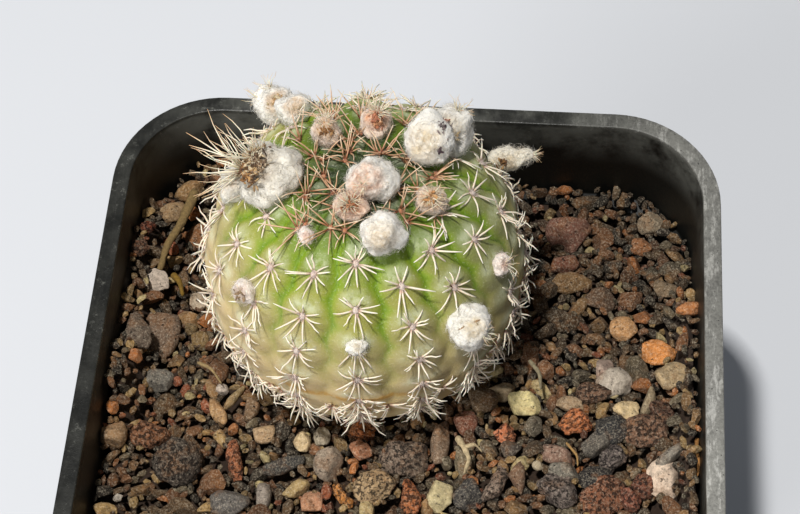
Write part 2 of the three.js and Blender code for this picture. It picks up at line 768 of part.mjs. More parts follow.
// Whether a spine from a root to a tip passes every bristle with room to spare
function isClearOfBristles(root, tip) {
  const at = new THREE.Vector3();
  const closest = new THREE.Vector3();
  return placedBuds.every(({ bristles }) => bristles.every((bristle) => {
    const end = bristle.root.clone().addScaledVector(bristle.direction, bristle.length);
    const line = new THREE.Line3(bristle.root, end);
    return [0, 0.25, 0.5, 0.75, 1].every((share) => {
      at.lerpVectors(root, tip, share);
      line.closestPointToPoint(at, true, closest);
      return at.distanceTo(closest) > SPINE_CLEARANCE;
    });
  }));
}

// Every spine: an even star on each areole, upright at the crown, a downward fan low on the stem
function placedSpines() {
  const random = randomStream(SPINE_SEED);
  const spines = [];
  for (let rib = 0; rib < RIB_COUNT; rib += 1) {
    const longitude = FIRST_RIB - rib * 2 * Math.PI / RIB_COUNT;
    let count = Math.ceil(RIB_STAGGER * rib) - RIB_STAGGER * rib;
    for (; areoleAngle(count) < LAST_AREOLE; count += 1) {
      const angle = areoleAngle(count);
      const frame = surfaceFrame(angle, longitude);
      const centre = frame.out.clone().multiplyScalar(stemEnvelope(angle) - SPINE_ROOT_DEPTH);
      const crown = angle < CROWN_EDGE;
      const low = angle > LOW_SPINES_FROM;
      const upperLean = crown ? CROWN_SPINE_LEAN : SPINE_LEAN;
      const phase = between(random, 0, 2 * Math.PI / SPINES_PER_AREOLE);
      for (let index = 0; index < SPINES_PER_AREOLE; index += 1) {
        const share = index / (SPINES_PER_AREOLE - 1) - 0.5;
        const turn = low ? share * LOW_SPINE_FAN : phase + index * 2 * Math.PI / SPINES_PER_AREOLE;
        const lean = varied(random, low ? LOW_SPINE_LEAN : upperLean, SPINE_LEAN_SPREAD);
        const direction = leaning(frame, lean, turn);
        const root = centre.clone().addScaledVector(leaning(frame, 0, turn), AREOLE_RADIUS);
        const shown = varied(random, crown ? CROWN_SPINE_LENGTH : SPINE_LENGTH, SPINE_LENGTH_SPREAD);
        const buried = SPINE_ROOT_DEPTH / Math.sin(lean);
        for (const length of [shown + buried, shown * SHORT_SPINE_SHARE + buried]) {
          const tip = root.clone().addScaledVector(direction, length);
          const middle = root.clone().lerp(tip, 0.5);
          if ([root, middle, tip].every(isClear) && isClearOfBristles(root, tip)) {
            spines.push({ root, direction, length });
            break;
          }
        }
      }
    }
  }
  return spines;
}

function makeStem() {
  const body = radialSurface(
    (angle, longitude) => stemEnvelope(angle) - stemDepth(angle, longitude),
    ribLongitudes(),
    ROW_ANGLE,
  );
  const spines = placedSpines().map(({ root, direction, length }) => (
    needle(root, direction, length, SPINE_RADIUS)
  ));
  return piece('stem', toGeometry(joined([toSolid(body), ...spines])), '#7f9a55', 0.6);
}

const plant = new THREE.Group();
plant.position.copy(STEM_POSITION);
plant.add(makeStem(), ...makeBuds());

const cactusInPot = new THREE.Group();
cactusInPot.add(makePot(), makeSoil(), ...makeStones(), plant);

export default cactusInPot;
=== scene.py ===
# The looks of a small ball cactus with woolly buds, in a square nursery pot of gravel.
# Metres, +Z up, -Y towards the viewer, with the origin in the middle of the pot's underside.

import math

import bpy
import numpy as np
from mathutils import Matrix, Vector, noise


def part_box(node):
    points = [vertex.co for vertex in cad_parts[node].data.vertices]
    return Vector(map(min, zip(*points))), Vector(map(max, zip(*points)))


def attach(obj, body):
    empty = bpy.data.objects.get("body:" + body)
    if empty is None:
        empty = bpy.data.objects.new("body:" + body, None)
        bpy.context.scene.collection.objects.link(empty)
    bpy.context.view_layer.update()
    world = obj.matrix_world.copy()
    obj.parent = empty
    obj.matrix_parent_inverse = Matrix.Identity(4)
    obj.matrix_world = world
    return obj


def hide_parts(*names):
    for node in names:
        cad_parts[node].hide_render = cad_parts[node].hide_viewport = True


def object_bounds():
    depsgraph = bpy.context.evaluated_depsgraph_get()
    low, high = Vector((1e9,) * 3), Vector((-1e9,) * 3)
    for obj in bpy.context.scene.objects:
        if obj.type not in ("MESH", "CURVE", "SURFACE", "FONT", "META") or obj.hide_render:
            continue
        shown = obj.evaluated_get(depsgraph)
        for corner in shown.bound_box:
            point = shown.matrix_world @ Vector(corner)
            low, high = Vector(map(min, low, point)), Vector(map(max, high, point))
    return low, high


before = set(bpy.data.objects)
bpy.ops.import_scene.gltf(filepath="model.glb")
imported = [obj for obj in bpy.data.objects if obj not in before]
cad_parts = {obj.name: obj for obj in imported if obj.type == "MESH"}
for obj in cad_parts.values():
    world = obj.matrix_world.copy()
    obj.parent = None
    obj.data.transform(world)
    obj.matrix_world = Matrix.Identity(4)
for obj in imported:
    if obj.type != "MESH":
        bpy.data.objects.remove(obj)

CAD_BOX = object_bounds()
MM = 0.001
DEGREE = math.pi / 180
# How high spines and bristles may reach
TOP = CAD_BOX[1][2] + 0.8 * MM

# Pot
POT_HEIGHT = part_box("pot")[1].z
LIP_HALF_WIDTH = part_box("pot")[1].x
FOOT_HALF_WIDTH = 22.5 * MM
LIP_HEIGHT = 1.6 * MM
LIP_OVERHANG = 0.7 * MM
LIP_CORNER_RADIUS = 9.9 * MM
WALL = 1.0 * MM
FLOOR = 1.4 * MM
COLLAR_HALF_WIDTH = LIP_HALF_WIDTH - LIP_OVERHANG
COLLAR_HEIGHT = 12 * MM
COLLAR_DRAFT = 0.3 * MM
SHOULDER_Z = POT_HEIGHT - COLLAR_HEIGHT
SHOULDER_STEP = 1.2 * MM
SHOULDER_DROP = 0.8 * MM
EDGE_ROUND = 0.45 * MM
CORNER_STEPS = 16
DRAIN_RADIUS = 2.5 * MM
DRAIN_OFFSET = 13 * MM

# Gravel
SOIL_FRONT = 46.4 * MM
SOIL_BACK = 42.4 * MM
SOIL_RISE_FROM = -8 * MM
SOIL_RISE_TO = 27 * MM
SOIL_WAVE = 0.35 * MM
SOIL_WAVE_LENGTH = 16 * MM
BANK = 1.5 * MM
BANK_FROM = 23.5 * MM
BANK_TO = 27.5 * MM
LEFT_BANK = 3.6 * MM
LEFT_BANK_WALL = (24 * MM, 28 * MM)
LEFT_BANK_STARTS = (-8 * MM, 2 * MM)
LEFT_BANK_ENDS = (16 * MM, 24 * MM)
RIGHT_BANK = 3.4 * MM
RIGHT_BANK_WALL = (25 * MM, 28 * MM)
RIGHT_BANK_ENDS = (9 * MM, 18 * MM)
BACK_BANK = 2.0 * MM
BACK_BANK_WALL = (14 * MM, 26 * MM)
BACK_BANK_STARTS = (4 * MM, 18 * MM)
GRAVEL_TOP = 1.6 * MM
BED_DEPTH = 1.2 * MM
BED_GAP = 0.3 * MM
BED_ROUGHNESS = 0.5 * MM
BED_ROUGHNESS_LENGTH = 1.5 * MM
BED_WAIST = SOIL_BACK - 2 * MM
BED_CORNER_RADIUS = 8.8 * MM
GRAIN_STRETCH = 1.75
GRAVEL_SEED = 5

# Stem
STEM_RADIUS = 15.2 * MM
STEM_CENTRE = np.array([-4.0, 10.2, 57.0]) * MM
CROWN_SINK = 0.9 * MM
CROWN_SPREAD = 16 * DEGREE
ROOT_START = 148 * DEGREE
ROOT_REACH = 22 * MM
RIB_COUNT = 16
RIB_DEPTH = 0.7 * MM
WART_DEPTH = 0.14 * MM
FIRST_RIB = -65 * DEGREE
RIB_STAGGER = 0.625
FURROW_WAVE = 0.028
RELIEF_FULL_FROM = 48 * DEGREE
RELIEF_FADE_FROM = 66 * DEGREE
RELIEF_FADE_TO = 118 * DEGREE
FIRST_AREOLE = 10 * DEGREE
AREOLE_STEP = 17.5 * DEGREE
AREOLE_SHRINK = 0.93
LAST_AREOLE = 121 * DEGREE
CROWN_EDGE = 31 * DEGREE
YOUNG_AREOLES = 28
GOLDEN_ANGLE = math.pi * (3 - math.sqrt(5))
OLD_AREOLES = 44
OLD_AREOLES_FROM = 92 * DEGREE
OLD_AREOLES_SPAN = 24 * DEGREE
HAIRS_PER_AREOLE = 24
LOW_SPINES_FROM = 80 * DEGREE
CORK_ANGLE = 90.5 * DEGREE
CORK_HALF_WIDTH = 1.3 * DEGREE
CORK_LONGITUDE = -93 * DEGREE

# Camera and light
CAMERA_PLACE = np.array([10.6, -90.2, 218.0]) * MM
CAMERA_AZIMUTH = 6.4 * DEGREE
CAMERA_ELEVATION = 57.8 * DEGREE
CAMERA_ROLL = -2.7 * DEGREE
CAMERA_LENS = 90
# Lamps: name, direction from the pot, distance and size in metres, power in watts, and colour
LAMPS = [
    ("key_lamp", (-0.155, -0.13, 0.97), 0.8, 0.042, 6.6, (1.0, 0.98, 0.95)),
    ("front_lamp", (-0.62, -0.78, 0.5), 0.9, 0.4, 4.4, (1.0, 0.99, 0.98)),
]
ROOM_COLOUR = (0.9, 0.94, 1.0, 1.0)
ROOM_STRENGTH = 0.16


def linear(code):
    """A colour's hex code as Blender's linear values."""
    channels = [int(code[place:place + 2], 16) / 255 for place in (1, 3, 5)]
    return tuple(c / 12.92 if c <= 0.04045 else ((c + 0.055) / 1.055) ** 2.4 for c in channels) + (1.0,)


def smooth(value, low, high):
    """0 below low, 1 above high, and a smooth rise between them."""
    share = np.clip((value - low) / (high - low), 0, 1)
    return share * share * (3 - 2 * share)


def unit(vectors):
    """Vectors made one long."""
    return vectors / np.linalg.norm(vectors, axis=-1, keepdims=True)


class Value:
    """A socket in a finish's node tree. Arithmetic on it adds Math nodes."""

    def __init__(self, finish, socket):
        self.finish = finish
        self.socket = socket

    def math(self, operation, first, second):
        return self.finish.node("ShaderNodeMath", {"operation": operation}, {0: first, 1: second})

    def __add__(self, other):
        return self.math("ADD", self, other)

    def __sub__(self, other):
        return self.math("SUBTRACT", self, other)

    def __rsub__(self, other):
        return self.math("SUBTRACT", other, self)

    def __mul__(self, other):
        return self.math("MULTIPLY", self, other)

    __radd__ = __add__
    __rmul__ = __mul__

    def rise(self, low, high):
        """0 to 1 as the value goes smoothly from low to high, or the other way where low is the larger."""
        settings = {"interpolation_type": "SMOOTHSTEP"}
        return self.finish.node("ShaderNodeMapRange", settings, {0: self, 1: low, 2: high})


class Finish:
    """A procedural material, built node by node in front of one Principled shader."""

    def __init__(self, name, constants=None):
        self.material = bpy.data.materials.new(name)
        self.material.use_nodes = True
        self.tree = self.material.node_tree
        self.shader = self.tree.nodes["Principled BSDF"]
        for socket, value in (constants or {}).items():
            self.surface(socket, value)

    def node(self, kind, settings=None, inputs=None, output=0):
        """Any node, by its type, its settings, and the values or links of its sockets."""
        made = self.tree.nodes.new(kind)
        for setting, value in (settings or {}).items():
            setattr(made, setting, value)
        for socket, value in (inputs or {}).items():
            self.feed(made.inputs[socket], value)
        return Value(self, made.outputs[output])

    def feed(self, socket, value):
        if isinstance(value, Value):
            self.tree.links.new(value.socket, socket)
        else:
            socket.default_value = value

    def surface(self, socket, value):
        """Sets or links a socket of the Principled shader."""
        self.feed(self.shader.inputs[socket], value)

    def place(self):
        """Where a point lies on the object."""
        return self.node("ShaderNodeTexCoord", output="Object")

    def axis(self, letter):
        """One part of that place."""
        return self.node("ShaderNodeSeparateXYZ", inputs={0: self.place()}, output=letter)

    def noise(self, size, detail=2.0, roughness=0.5, stretch=(1, 1, 1)):
        """Soft cloudy noise from 0 to 1, whose lumps are about size across."""
        place = self.node("ShaderNodeMapping", inputs={0: self.place(), "Scale": stretch})
        settings = {"Vector": place, "Scale": 1 / size, "Detail": detail, "Roughness": roughness}
        return self.node("ShaderNodeTexNoise", inputs=settings)

    def number(self, name):
        """A number that the mesh carries."""
        return self.node("ShaderNodeAttribute", {"attribute_name": name}, output="Fac")

    def colour(self, name):
        """A colour that the mesh carries."""
        return self.node("ShaderNodeAttribute", {"attribute_name": name}, output="Color")

    def mix(self, factor, first, second):
        """The first colour where the factor is 0, and the second where it is 1."""
        return self.node("ShaderNodeMix", {"data_type": "RGBA"}, {0: factor, 6: first, 7: second}, output=2)

    def bump(self, height, distance, strength=1.0):
        self.surface("Normal", self.node("ShaderNodeBump", inputs={
            "Strength": strength,
            "Distance": distance,
            "Height": height,
        }))


def pot_plastic():
    """Black moulded plastic: its lip worn grey and made lighter grey on the right by a painted highlight,
    with chalky deposits under the edge.
    """
    finish = Finish("black_pot_plastic", {"IOR": 1.42})
    height = finish.axis("Z")
    side = finish.axis("X")
    rim = height.rise(POT_HEIGHT - 5 * MM, POT_HEIGHT - 0.6 * MM)
    lip = height.rise(POT_HEIGHT - 0.7 * MM, POT_HEIGHT - 0.1 * MM)
    # right masks the right of the lip, where a painted highlight makes it lighter grey
    right = side.rise(12 * MM, 28.5 * MM)
    centre = side.rise(-27 * MM, -14 * MM)
    front = finish.axis("Y").rise(12 * MM, -12 * MM)
    clouds = finish.noise(5 * MM, detail=5, roughness=0.65)
    streaks = finish.noise(1.1 * MM, detail=4, roughness=0.7, stretch=(1, 1, 0.16))
    specks = finish.noise(0.35 * MM, detail=3, roughness=0.7)
    flecks = finish.noise(0.8 * MM, detail=6, roughness=0.8).rise(0.56, 0.68)
    deposit = rim * clouds.rise(0.42, 0.7) * (0.3 + 0.7 * streaks) * (0.22 + 0.78 * centre)
    # Wear over the whole lip, and on its right a painted highlight, stronger towards the front
    wear_and_painted_highlight = lip * (0.02 + 0.03 * centre + 0.52 * right + 0.3 * right * front)
    wear_and_painted_highlight = wear_and_painted_highlight * (0.5 + 0.5 * specks.rise(0.25, 0.7))
    nicks = specks.rise(0.64, 0.69) * lip
    scuffs = finish.noise(0.7 * MM, detail=5, roughness=0.75, stretch=(1, 0.25, 1)).rise(0.5, 0.62)
    colour = finish.mix(clouds, linear("#060706"), linear("#11120f"))
    colour = finish.mix(deposit * 0.48, colour, linear("#7c7d74"))
    back = finish.axis("Y").rise(10 * MM, 27 * MM)
    chalk = back * height.rise(POT_HEIGHT - 6.5 * MM, POT_HEIGHT - 2 * MM) * clouds.rise(0.3, 0.56)
    colour = finish.mix(chalk * (1 - 0.85 * lip) * 0.6, colour, linear("#6a6b65"))
    # Wear and painted highlight: the lip lighter grey, most on the right
    colour = finish.mix(wear_and_painted_highlight * 0.9, colour, linear("#96958f"))
    colour = finish.mix(wear_and_painted_highlight * scuffs * 0.6, colour, linear("#d0cfc9"))
    colour = finish.mix(flecks * rim * 0.3, colour, linear("#8f9088"))
    colour = finish.mix(nicks * 0.8, colour, linear("#1b1b19"))
    finish.surface("Base Color", colour)
    finish.surface("Roughness", 0.4 + 0.35 * deposit + 0.12 * streaks - 0.14 * lip * (1 - right))
    finish.bump(streaks * 0.4 + specks * 0.6 - nicks, 0.06 * MM, 0.6)
    return finish


def gravel_dust():
    """The dark fine soil seen between the grains."""
    finish = Finish("gravel_dust", {"Roughness": 0.95})
    crumbs = finish.noise(0.8 * MM, detail=6, roughness=0.7)
    finish.surface("Base Color", finish.mix(crumbs, linear("#17110d"), linear("#4a3626")))
    finish.bump(crumbs, 0.6 * MM)
    return finish


def stone_surface(name, pit_size, pit_share, pit_depth):
    """Dull mineral in the colour that each stone carries: stained, dusted and pitted, with painted shade in
    the pits.
    """
    finish = Finish(name, {"Roughness": 0.94, "Specular IOR Level": 0.3})
    tint = finish.colour("tint")
    stain = finish.noise(2.2 * MM, detail=4, roughness=0.6)
    mottle = finish.noise(0.6 * MM, detail=7, roughness=0.8)
    pits = finish.noise(pit_size, detail=4, roughness=0.7).rise(pit_share, pit_share + 0.1)
    dust = finish.noise(0.2 * MM, detail=4, roughness=0.75)
    colour = finish.mix(stain.rise(0.5, 0.66) * 0.4, tint, linear("#8f6138"))
    colour = finish.mix(mottle.rise(0.36, 0.6), finish.mix(0.5, colour, linear("#1a140f")), colour)
    colour = finish.mix(dust.rise(0.46, 0.7) * 0.5, colour, finish.mix(0.5, tint, linear("#fff0d4")))
    # Painted shade: the pits darkened nearly to black
    colour = finish.mix((1 - pits) * 0.8, colour, linear("#120d0a"))
    finish.surface("Base Color", colour)
    finish.bump(mottle * 0.5 + dust * 0.15 + pits * 0.6, pit_depth)
    return finish


def stem_skin():
    """Waxy green skin: bright wavy furrows, felted grey-green warts, and a cream base, with the left side
    paler as painted light and the right side greyer as painted shade.
    """
    finish = Finish("stem_skin", {
        "IOR": 1.4,
        "Subsurface Weight": 0.25,
        "Subsurface Scale": 1.2 * MM,
        "Subsurface Radius": (1.0, 0.9, 0.5),
    })
    low = finish.number("low")
    furrow = finish.number("furrow")
    crease = finish.number("crease")
    felt = finish.number("felt")
    broad = finish.noise(7 * MM, detail=3)
    mottle = finish.noise(1.1 * MM, detail=6, roughness=0.7)
    grain = finish.noise(0.2 * MM, detail=3, roughness=0.7)
    # right masks the painted shade that greys the right side, and left masks the painted light that pales
    # the left side
    right = finish.axis("X").rise(-2 * MM, 11 * MM)
    left = finish.axis("X").rise(-8 * MM, -18 * MM)
    # The left side's painted light raises the ripeness there, so it is paler
    ripeness = low + (broad - 0.5) * 0.16 + (mottle - 0.5) * 0.1 + left * 0.05
    wart = finish.mix(ripeness.rise(0.07, 0.19), linear("#27370f"), linear("#6d8428"))
    wart = finish.mix(ripeness.rise(0.17, 0.29), wart, linear("#9a994a"))
    wart = finish.mix(ripeness.rise(0.28, 0.4), wart, linear("#aea170"))
    wart = finish.mix(ripeness.rise(0.38, 0.5), wart, linear("#ceb78b"))
    wart = finish.mix(ripeness.rise(0.5, 0.6), wart, linear("#ecd8ae"))
    # Painted shade: the warts greyer on the right side
    wart = finish.mix(right * 0.6, wart, linear("#78805c"))
    wart = finish.mix(felt * mottle.rise(0.3, 0.6) * 0.6, wart, linear("#c9cfb2"))
    depth = finish.mix(ripeness.rise(0.08, 0.19), linear("#24420a"), linear("#7c9714"))
    depth = finish.mix(ripeness.rise(0.26, 0.42), depth, linear("#a89f62"))
    depth = finish.mix(ripeness.rise(0.42, 0.54), depth, linear("#cdb885"))
    colour = finish.mix(furrow * 0.8, wart, depth)
    line = crease * (1 - ripeness.rise(0.3, 0.46))
    colour = finish.mix(line * 0.8, colour, linear("#648412"))
    colour = finish.mix(grain.rise(0.54, 0.72) * 0.25, colour, linear("#e6e4cc"))
    cork_line = finish.number("cork") * mottle.rise(0.32, 0.55)
    colour = finish.mix(cork_line * 0.9, colour, linear("#c4923c"))
    finish.surface("Base Color", colour)
    finish.surface("Roughness", 0.48 + 0.2 * felt + 0.12 * mottle)
    finish.bump(mottle * 0.6 + grain * 0.4, 0.16 * MM, 0.8)
    return finish


def spine_horn(name, root, middle, tip):
    """Horny spines that pale from root to tip."""
    finish = Finish(name, {"Roughness": 0.42, "Subsurface Weight": 0.1, "Subsurface Scale": 0.2 * MM})
    along = finish.number("along")
    tint = finish.number("shade")
    colour = finish.mix(along.rise(0.02, 0.3), linear(root), linear(middle))
    colour = finish.mix(along.rise(0.5, 1.0), colour, linear(tip))
    colour = finish.mix(tint * 0.3, colour, linear("#8a6a4a"))
    finish.surface("Base Color", colour)
    return finish


def wool_fibre(name, light, dark, patch_share, blush):
    """Matted wool: each fibre has its own shade, darker patches show through, and one side is stained."""
    finish = Finish(name, {
        "Roughness": 0.85,
        "Sheen Weight": 0.3,
        "Subsurface Weight": 0.4,
        "Subsurface Scale": 0.6 * MM,
        "Subsurface Radius": (1.0, 0.95, 0.85),
    })
    patches = finish.noise(1.2 * MM, detail=5, roughness=0.65).rise(0.5, 0.72)
    shade = finish.number("shade") * 0.4 + patches * patch_share
    colour = finish.mix(shade, linear(light), linear(dark))
    blotches = finish.noise(0.7 * MM, detail=5, roughness=0.7).rise(0.35, 0.65)
    stain = finish.number("blush") * (0.4 + 0.6 * blotches)
    finish.surface("Base Color", finish.mix(stain * 0.85, colour, linear(blush)))
    finish.bump(finish.noise(0.18 * MM, detail=4, roughness=0.75), 0.15 * MM)
    return finish


def dead_plant(name):
    """Dry remains and roots, in the colour that each bit carries."""
    finish = Finish(name, {"Roughness": 0.85})
    fibres = finish.noise(0.3 * MM, detail=5, roughness=0.7)
    tint = finish.colour("tint")
    colour = finish.mix(fibres.rise(0.3, 0.7), finish.mix(0.5, tint, linear("#2a1a10")), tint)
    finish.surface("Base Color", colour)
    finish.bump(fibres, 0.15 * MM)
    return finish


def add(operator, **values):
    """The object that a primitive's operator adds, with nothing else selected."""
    bpy.ops.object.select_all(action="DESELECT")
    operator(**values)
    bpy.ops.object.transform_apply(location=True, rotation=True, scale=True)
    return bpy.context.object


def choose(piece):
    """Selects one object alone and makes it active."""
    bpy.ops.object.select_all(action="DESELECT")
    piece.select_set(True)
    bpy.context.view_layer.objects.active = piece


def apply_modifier(piece, kind, **settings):
    """Adds a modifier with its settings and applies it."""
    modifier = piece.modifiers.new(kind.title(), kind)
    for setting, value in settings.items():
        setattr(modifier, setting, value)
    choose(piece)
    bpy.ops.object.modifier_apply(modifier=modifier.name)


def select_faces(piece, wanted):
    """In object mode, selects the faces that a test on centre and normal wants."""
    for polygon in piece.data.polygons:
        polygon.select = bool(wanted(polygon.center, polygon.normal))
    for edge in piece.data.edges:
        edge.select = False
    for vertex in piece.data.vertices:
        vertex.select = False
    for polygon in piece.data.polygons:
        if polygon.select:
            for corner in polygon.vertices:
                piece.data.vertices[corner].select = True


def corners_of(piece):
    """The mesh's points as an array."""
    points = np.empty(len(piece.data.vertices) * 3)
    piece.data.vertices.foreach_get("co", points)
    return points.reshape(-1, 3)


def move_corners(piece, points):
    """Puts the mesh's points at new places."""
    piece.data.vertices.foreach_set("co", np.ascontiguousarray(points, np.float32).ravel())
    piece.data.update()


def carry(piece, name, values):
    """Stores a number for every point of a mesh, or a colour where the values have four parts."""
    values = np.ascontiguousarray(values, np.float32)
    kind, field = ("FLOAT_COLOR", "color") if values.ndim == 2 else ("FLOAT", "value")
    attribute = piece.data.attributes.new(name, kind, "POINT")
    attribute.data.foreach_set(field, values.ravel())


def dress(piece, name, finish, stands_for=()):
    """Names a finished piece, gives it its material and fixes it to the pot's body."""
    piece.name = name
    piece.data.name = name
    piece.data.materials.clear()
    piece.data.materials.append(finish.material)
    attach(piece, "root")
    if stands_for:
        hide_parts(*stands_for)
    return piece


def rounded_square(half_width, radius, z):
    """A flat square with round corners."""
    outline = add(bpy.ops.mesh.primitive_plane_add, size=2 * half_width, location=(0, 0, z))
    bpy.ops.object.mode_set(mode="EDIT")
    bpy.ops.mesh.select_all(action="SELECT")
    bpy.ops.mesh.bevel(offset=radius, segments=CORNER_STEPS, affect="VERTICES")
    bpy.ops.object.mode_set(mode="OBJECT")
    return outline


def raise_wall(steps):
    """In edit mode, draws the selected rim up through steps of height and half width."""
    for (low, low_half), (high, high_half) in zip(steps, steps[1:]):
        bpy.ops.mesh.extrude_edges_move(TRANSFORM_OT_translate={"value": (0, 0, high - low)})
        share = high_half / low_half
        bpy.ops.transform.resize(value=(share, share, 1), center_override=(0, 0, 0))


def select_rim():
    """In edit mode, selects the open edges alone."""
    bpy.ops.mesh.select_mode(type="EDGE")
    bpy.ops.mesh.select_all(action="DESELECT")
    bpy.ops.mesh.select_non_manifold(extend=False, use_wire=False, use_multi_face=False)


def make_pot(finish):
    """The pot: a rounded square drawn up into a tapered wall, shouldered, lipped and drilled."""
    corner_share = LIP_CORNER_RADIUS / LIP_HALF_WIDTH
    pot = rounded_square(FOOT_HALF_WIDTH, FOOT_HALF_WIDTH * corner_share, 0)
    bpy.ops.object.mode_set(mode="EDIT")
    bpy.ops.mesh.select_all(action="SELECT")
    bpy.ops.mesh.flip_normals()
    select_rim()
    raise_wall([
        (0, FOOT_HALF_WIDTH),
        (SHOULDER_Z - SHOULDER_DROP, COLLAR_HALF_WIDTH - COLLAR_DRAFT - SHOULDER_STEP),
        (SHOULDER_Z, COLLAR_HALF_WIDTH - COLLAR_DRAFT),
        (POT_HEIGHT - LIP_HEIGHT, COLLAR_HALF_WIDTH),
        (POT_HEIGHT, COLLAR_HALF_WIDTH),
    ])
    bpy.ops.object.mode_set(mode="OBJECT")
    apply_modifier(pot, "SOLIDIFY", thickness=WALL, offset=-1, use_even_offset=True)

    def on_lip(centre, normal):
        outward = normal.x * centre.x + normal.y * centre.y > 0
        return centre.z > POT_HEIGHT - LIP_HEIGHT and abs(normal.z) < 0.5 and outward

    select_faces(pot, on_lip)
    bpy.ops.object.mode_set(mode="EDIT")
    bpy.ops.mesh.select_mode(type="FACE")
    bpy.ops.mesh.extrude_region_shrink_fatten(TRANSFORM_OT_shrink_fatten={"value": LIP_OVERHANG})
    bpy.ops.object.mode_set(mode="OBJECT")
    for x in (-DRAIN_OFFSET, DRAIN_OFFSET):
        for y in (-DRAIN_OFFSET, DRAIN_OFFSET):
            drill = add(bpy.ops.mesh.primitive_cylinder_add, vertices=32, radius=DRAIN_RADIUS,
                        depth=4 * FLOOR, location=(x, y, 0))
            apply_modifier(pot, "BOOLEAN", operation="DIFFERENCE", object=drill, solver="EXACT")
            bpy.data.objects.remove(drill)
    apply_modifier(pot, "BEVEL", width=EDGE_ROUND, segments=4, limit_method="ANGLE",
                   angle_limit=35 * DEGREE)
    choose(pot)
    bpy.ops.object.shade_smooth_by_angle(angle=35 * DEGREE)
    return dress(pot, "nursery_pot", finish, ["pot"])


def soil_top(x, y):
    """Height of the soil between the grains: low behind the stem and banked up at the walls."""
    slope = smooth(y, SOIL_RISE_FROM, SOIL_RISE_TO)
    turn = 2 * math.pi / SOIL_WAVE_LENGTH
    bank = BANK * smooth(np.maximum(np.abs(x), np.abs(y)), BANK_FROM, BANK_TO)
    left = LEFT_BANK * smooth(-x, *LEFT_BANK_WALL)
    bank += left * smooth(y, *LEFT_BANK_STARTS) * (1 - smooth(y, *LEFT_BANK_ENDS))
    bank += RIGHT_BANK * smooth(x, *RIGHT_BANK_WALL) * (1 - smooth(y, *RIGHT_BANK_ENDS))
    bank += BACK_BANK * smooth(-x, *BACK_BANK_STARTS) * smooth(y, *BACK_BANK_WALL)
    wave = SOIL_WAVE * np.sin(turn * x) * np.cos(turn * y)
    return SOIL_FRONT + (SOIL_BACK - SOIL_FRONT) * slope + wave + bank


def painted_gravel_shade(x, y):
    """What is left of a grain's lightness under painted shade: less on the right, and least behind on the
    right.
    """
    right = 0.14 * smooth(x, 2 * MM, 12 * MM)
    back_right = 0.22 * smooth(y, 4 * MM, 22 * MM) * smooth(x, -5 * MM, 10 * MM)
    return 0.95 - right - back_right


def wall_half_width(z):
    """Half width of the pot's outer wall above its shoulder."""
    return COLLAR_HALF_WIDTH - COLLAR_DRAFT * (POT_HEIGHT - z) / COLLAR_HEIGHT


def into_rounded_square(x, y, half_width, radius):
    """Points moved inside a rounded square, where they lie outside its corners."""
    core = half_width - radius
    over = np.stack([np.maximum(np.abs(x) - core, 0), np.maximum(np.abs(y) - core, 0)])
    reach = np.maximum(np.linalg.norm(over, axis=0), 1e-12)
    share = np.minimum(radius / reach, 1)
    inside = np.minimum(np.stack([np.abs(x), np.abs(y)]), core)
    return np.sign(x) * (inside[0] + over[0] * share), np.sign(y) * (inside[1] + over[1] * share)


def make_bed(finish):
    """The soil under the grains: a rough top, carried down to the pot's floor and closed."""
    half = wall_half_width(SOIL_FRONT) - WALL - BED_GAP
    bed = add(bpy.ops.mesh.primitive_grid_add, x_subdivisions=70, y_subdivisions=70, size=2 * half)
    points = corners_of(bed)
    x, y = into_rounded_square(points[:, 0], points[:, 1], half, BED_CORNER_RADIUS)
    places = [Vector((a, b, 0)) / BED_ROUGHNESS_LENGTH for a, b in zip(x, y)]
    rough = np.array([noise.fractal(place, 1.0, 2.0, 4) for place in places])
    move_corners(bed, np.stack([x, y, soil_top(x, y) - BED_DEPTH + rough * BED_ROUGHNESS], axis=1))
    bpy.ops.object.mode_set(mode="EDIT")
    select_rim()
    waist = COLLAR_HALF_WIDTH - COLLAR_DRAFT - SHOULDER_STEP - WALL - BED_GAP
    foot = FOOT_HALF_WIDTH - WALL - BED_GAP
    for z, before, after in ((BED_WAIST, half, waist), (FLOOR + BED_GAP, waist, foot)):
        share = after / before
        bpy.ops.mesh.extrude_edges_move(TRANSFORM_OT_translate={"value": (0, 0, 0)})
        bpy.ops.transform.resize(value=(1, 1, 0), center_override=(0, 0, z))
        bpy.ops.transform.resize(value=(share, share, 1), center_override=(0, 0, 0))
    bpy.ops.mesh.edge_face_add()
    bpy.ops.object.mode_set(mode="OBJECT")
    choose(bed)
    bpy.ops.object.shade_smooth()
    return dress(bed, "soil_bed", finish, ["soil"])


def broken_stone(seed, subdivisions, cuts):
    """A ball of unit radius broken by flat cuts, as crushed rock is."""
    draw = np.random.default_rng(seed)
    stone = add(bpy.ops.mesh.primitive_ico_sphere_add, subdivisions=subdivisions, radius=1)
    bpy.ops.object.mode_set(mode="EDIT")
    for normal in unit(draw.normal(size=(cuts, 3))):
        place = normal * draw.uniform(0.5, 0.82)
        bpy.ops.mesh.select_all(action="SELECT")
        bpy.ops.mesh.bisect(plane_co=place, plane_no=normal, use_fill=True, clear_outer=True)
    bpy.ops.object.mode_set(mode="OBJECT")
    return stone


def displace(piece, pattern, size, strength):
    """Moves a piece's skin in and out by a cloudy pattern of lumps about size across."""
    texture = bpy.data.textures.new("lumps", "CLOUDS")
    texture.noise_type = pattern
    texture.noise_scale = size
    texture.noise_depth = 4
    apply_modifier(piece, "DISPLACE", texture=texture, texture_coords="LOCAL", mid_level=0.5,
                   strength=strength)


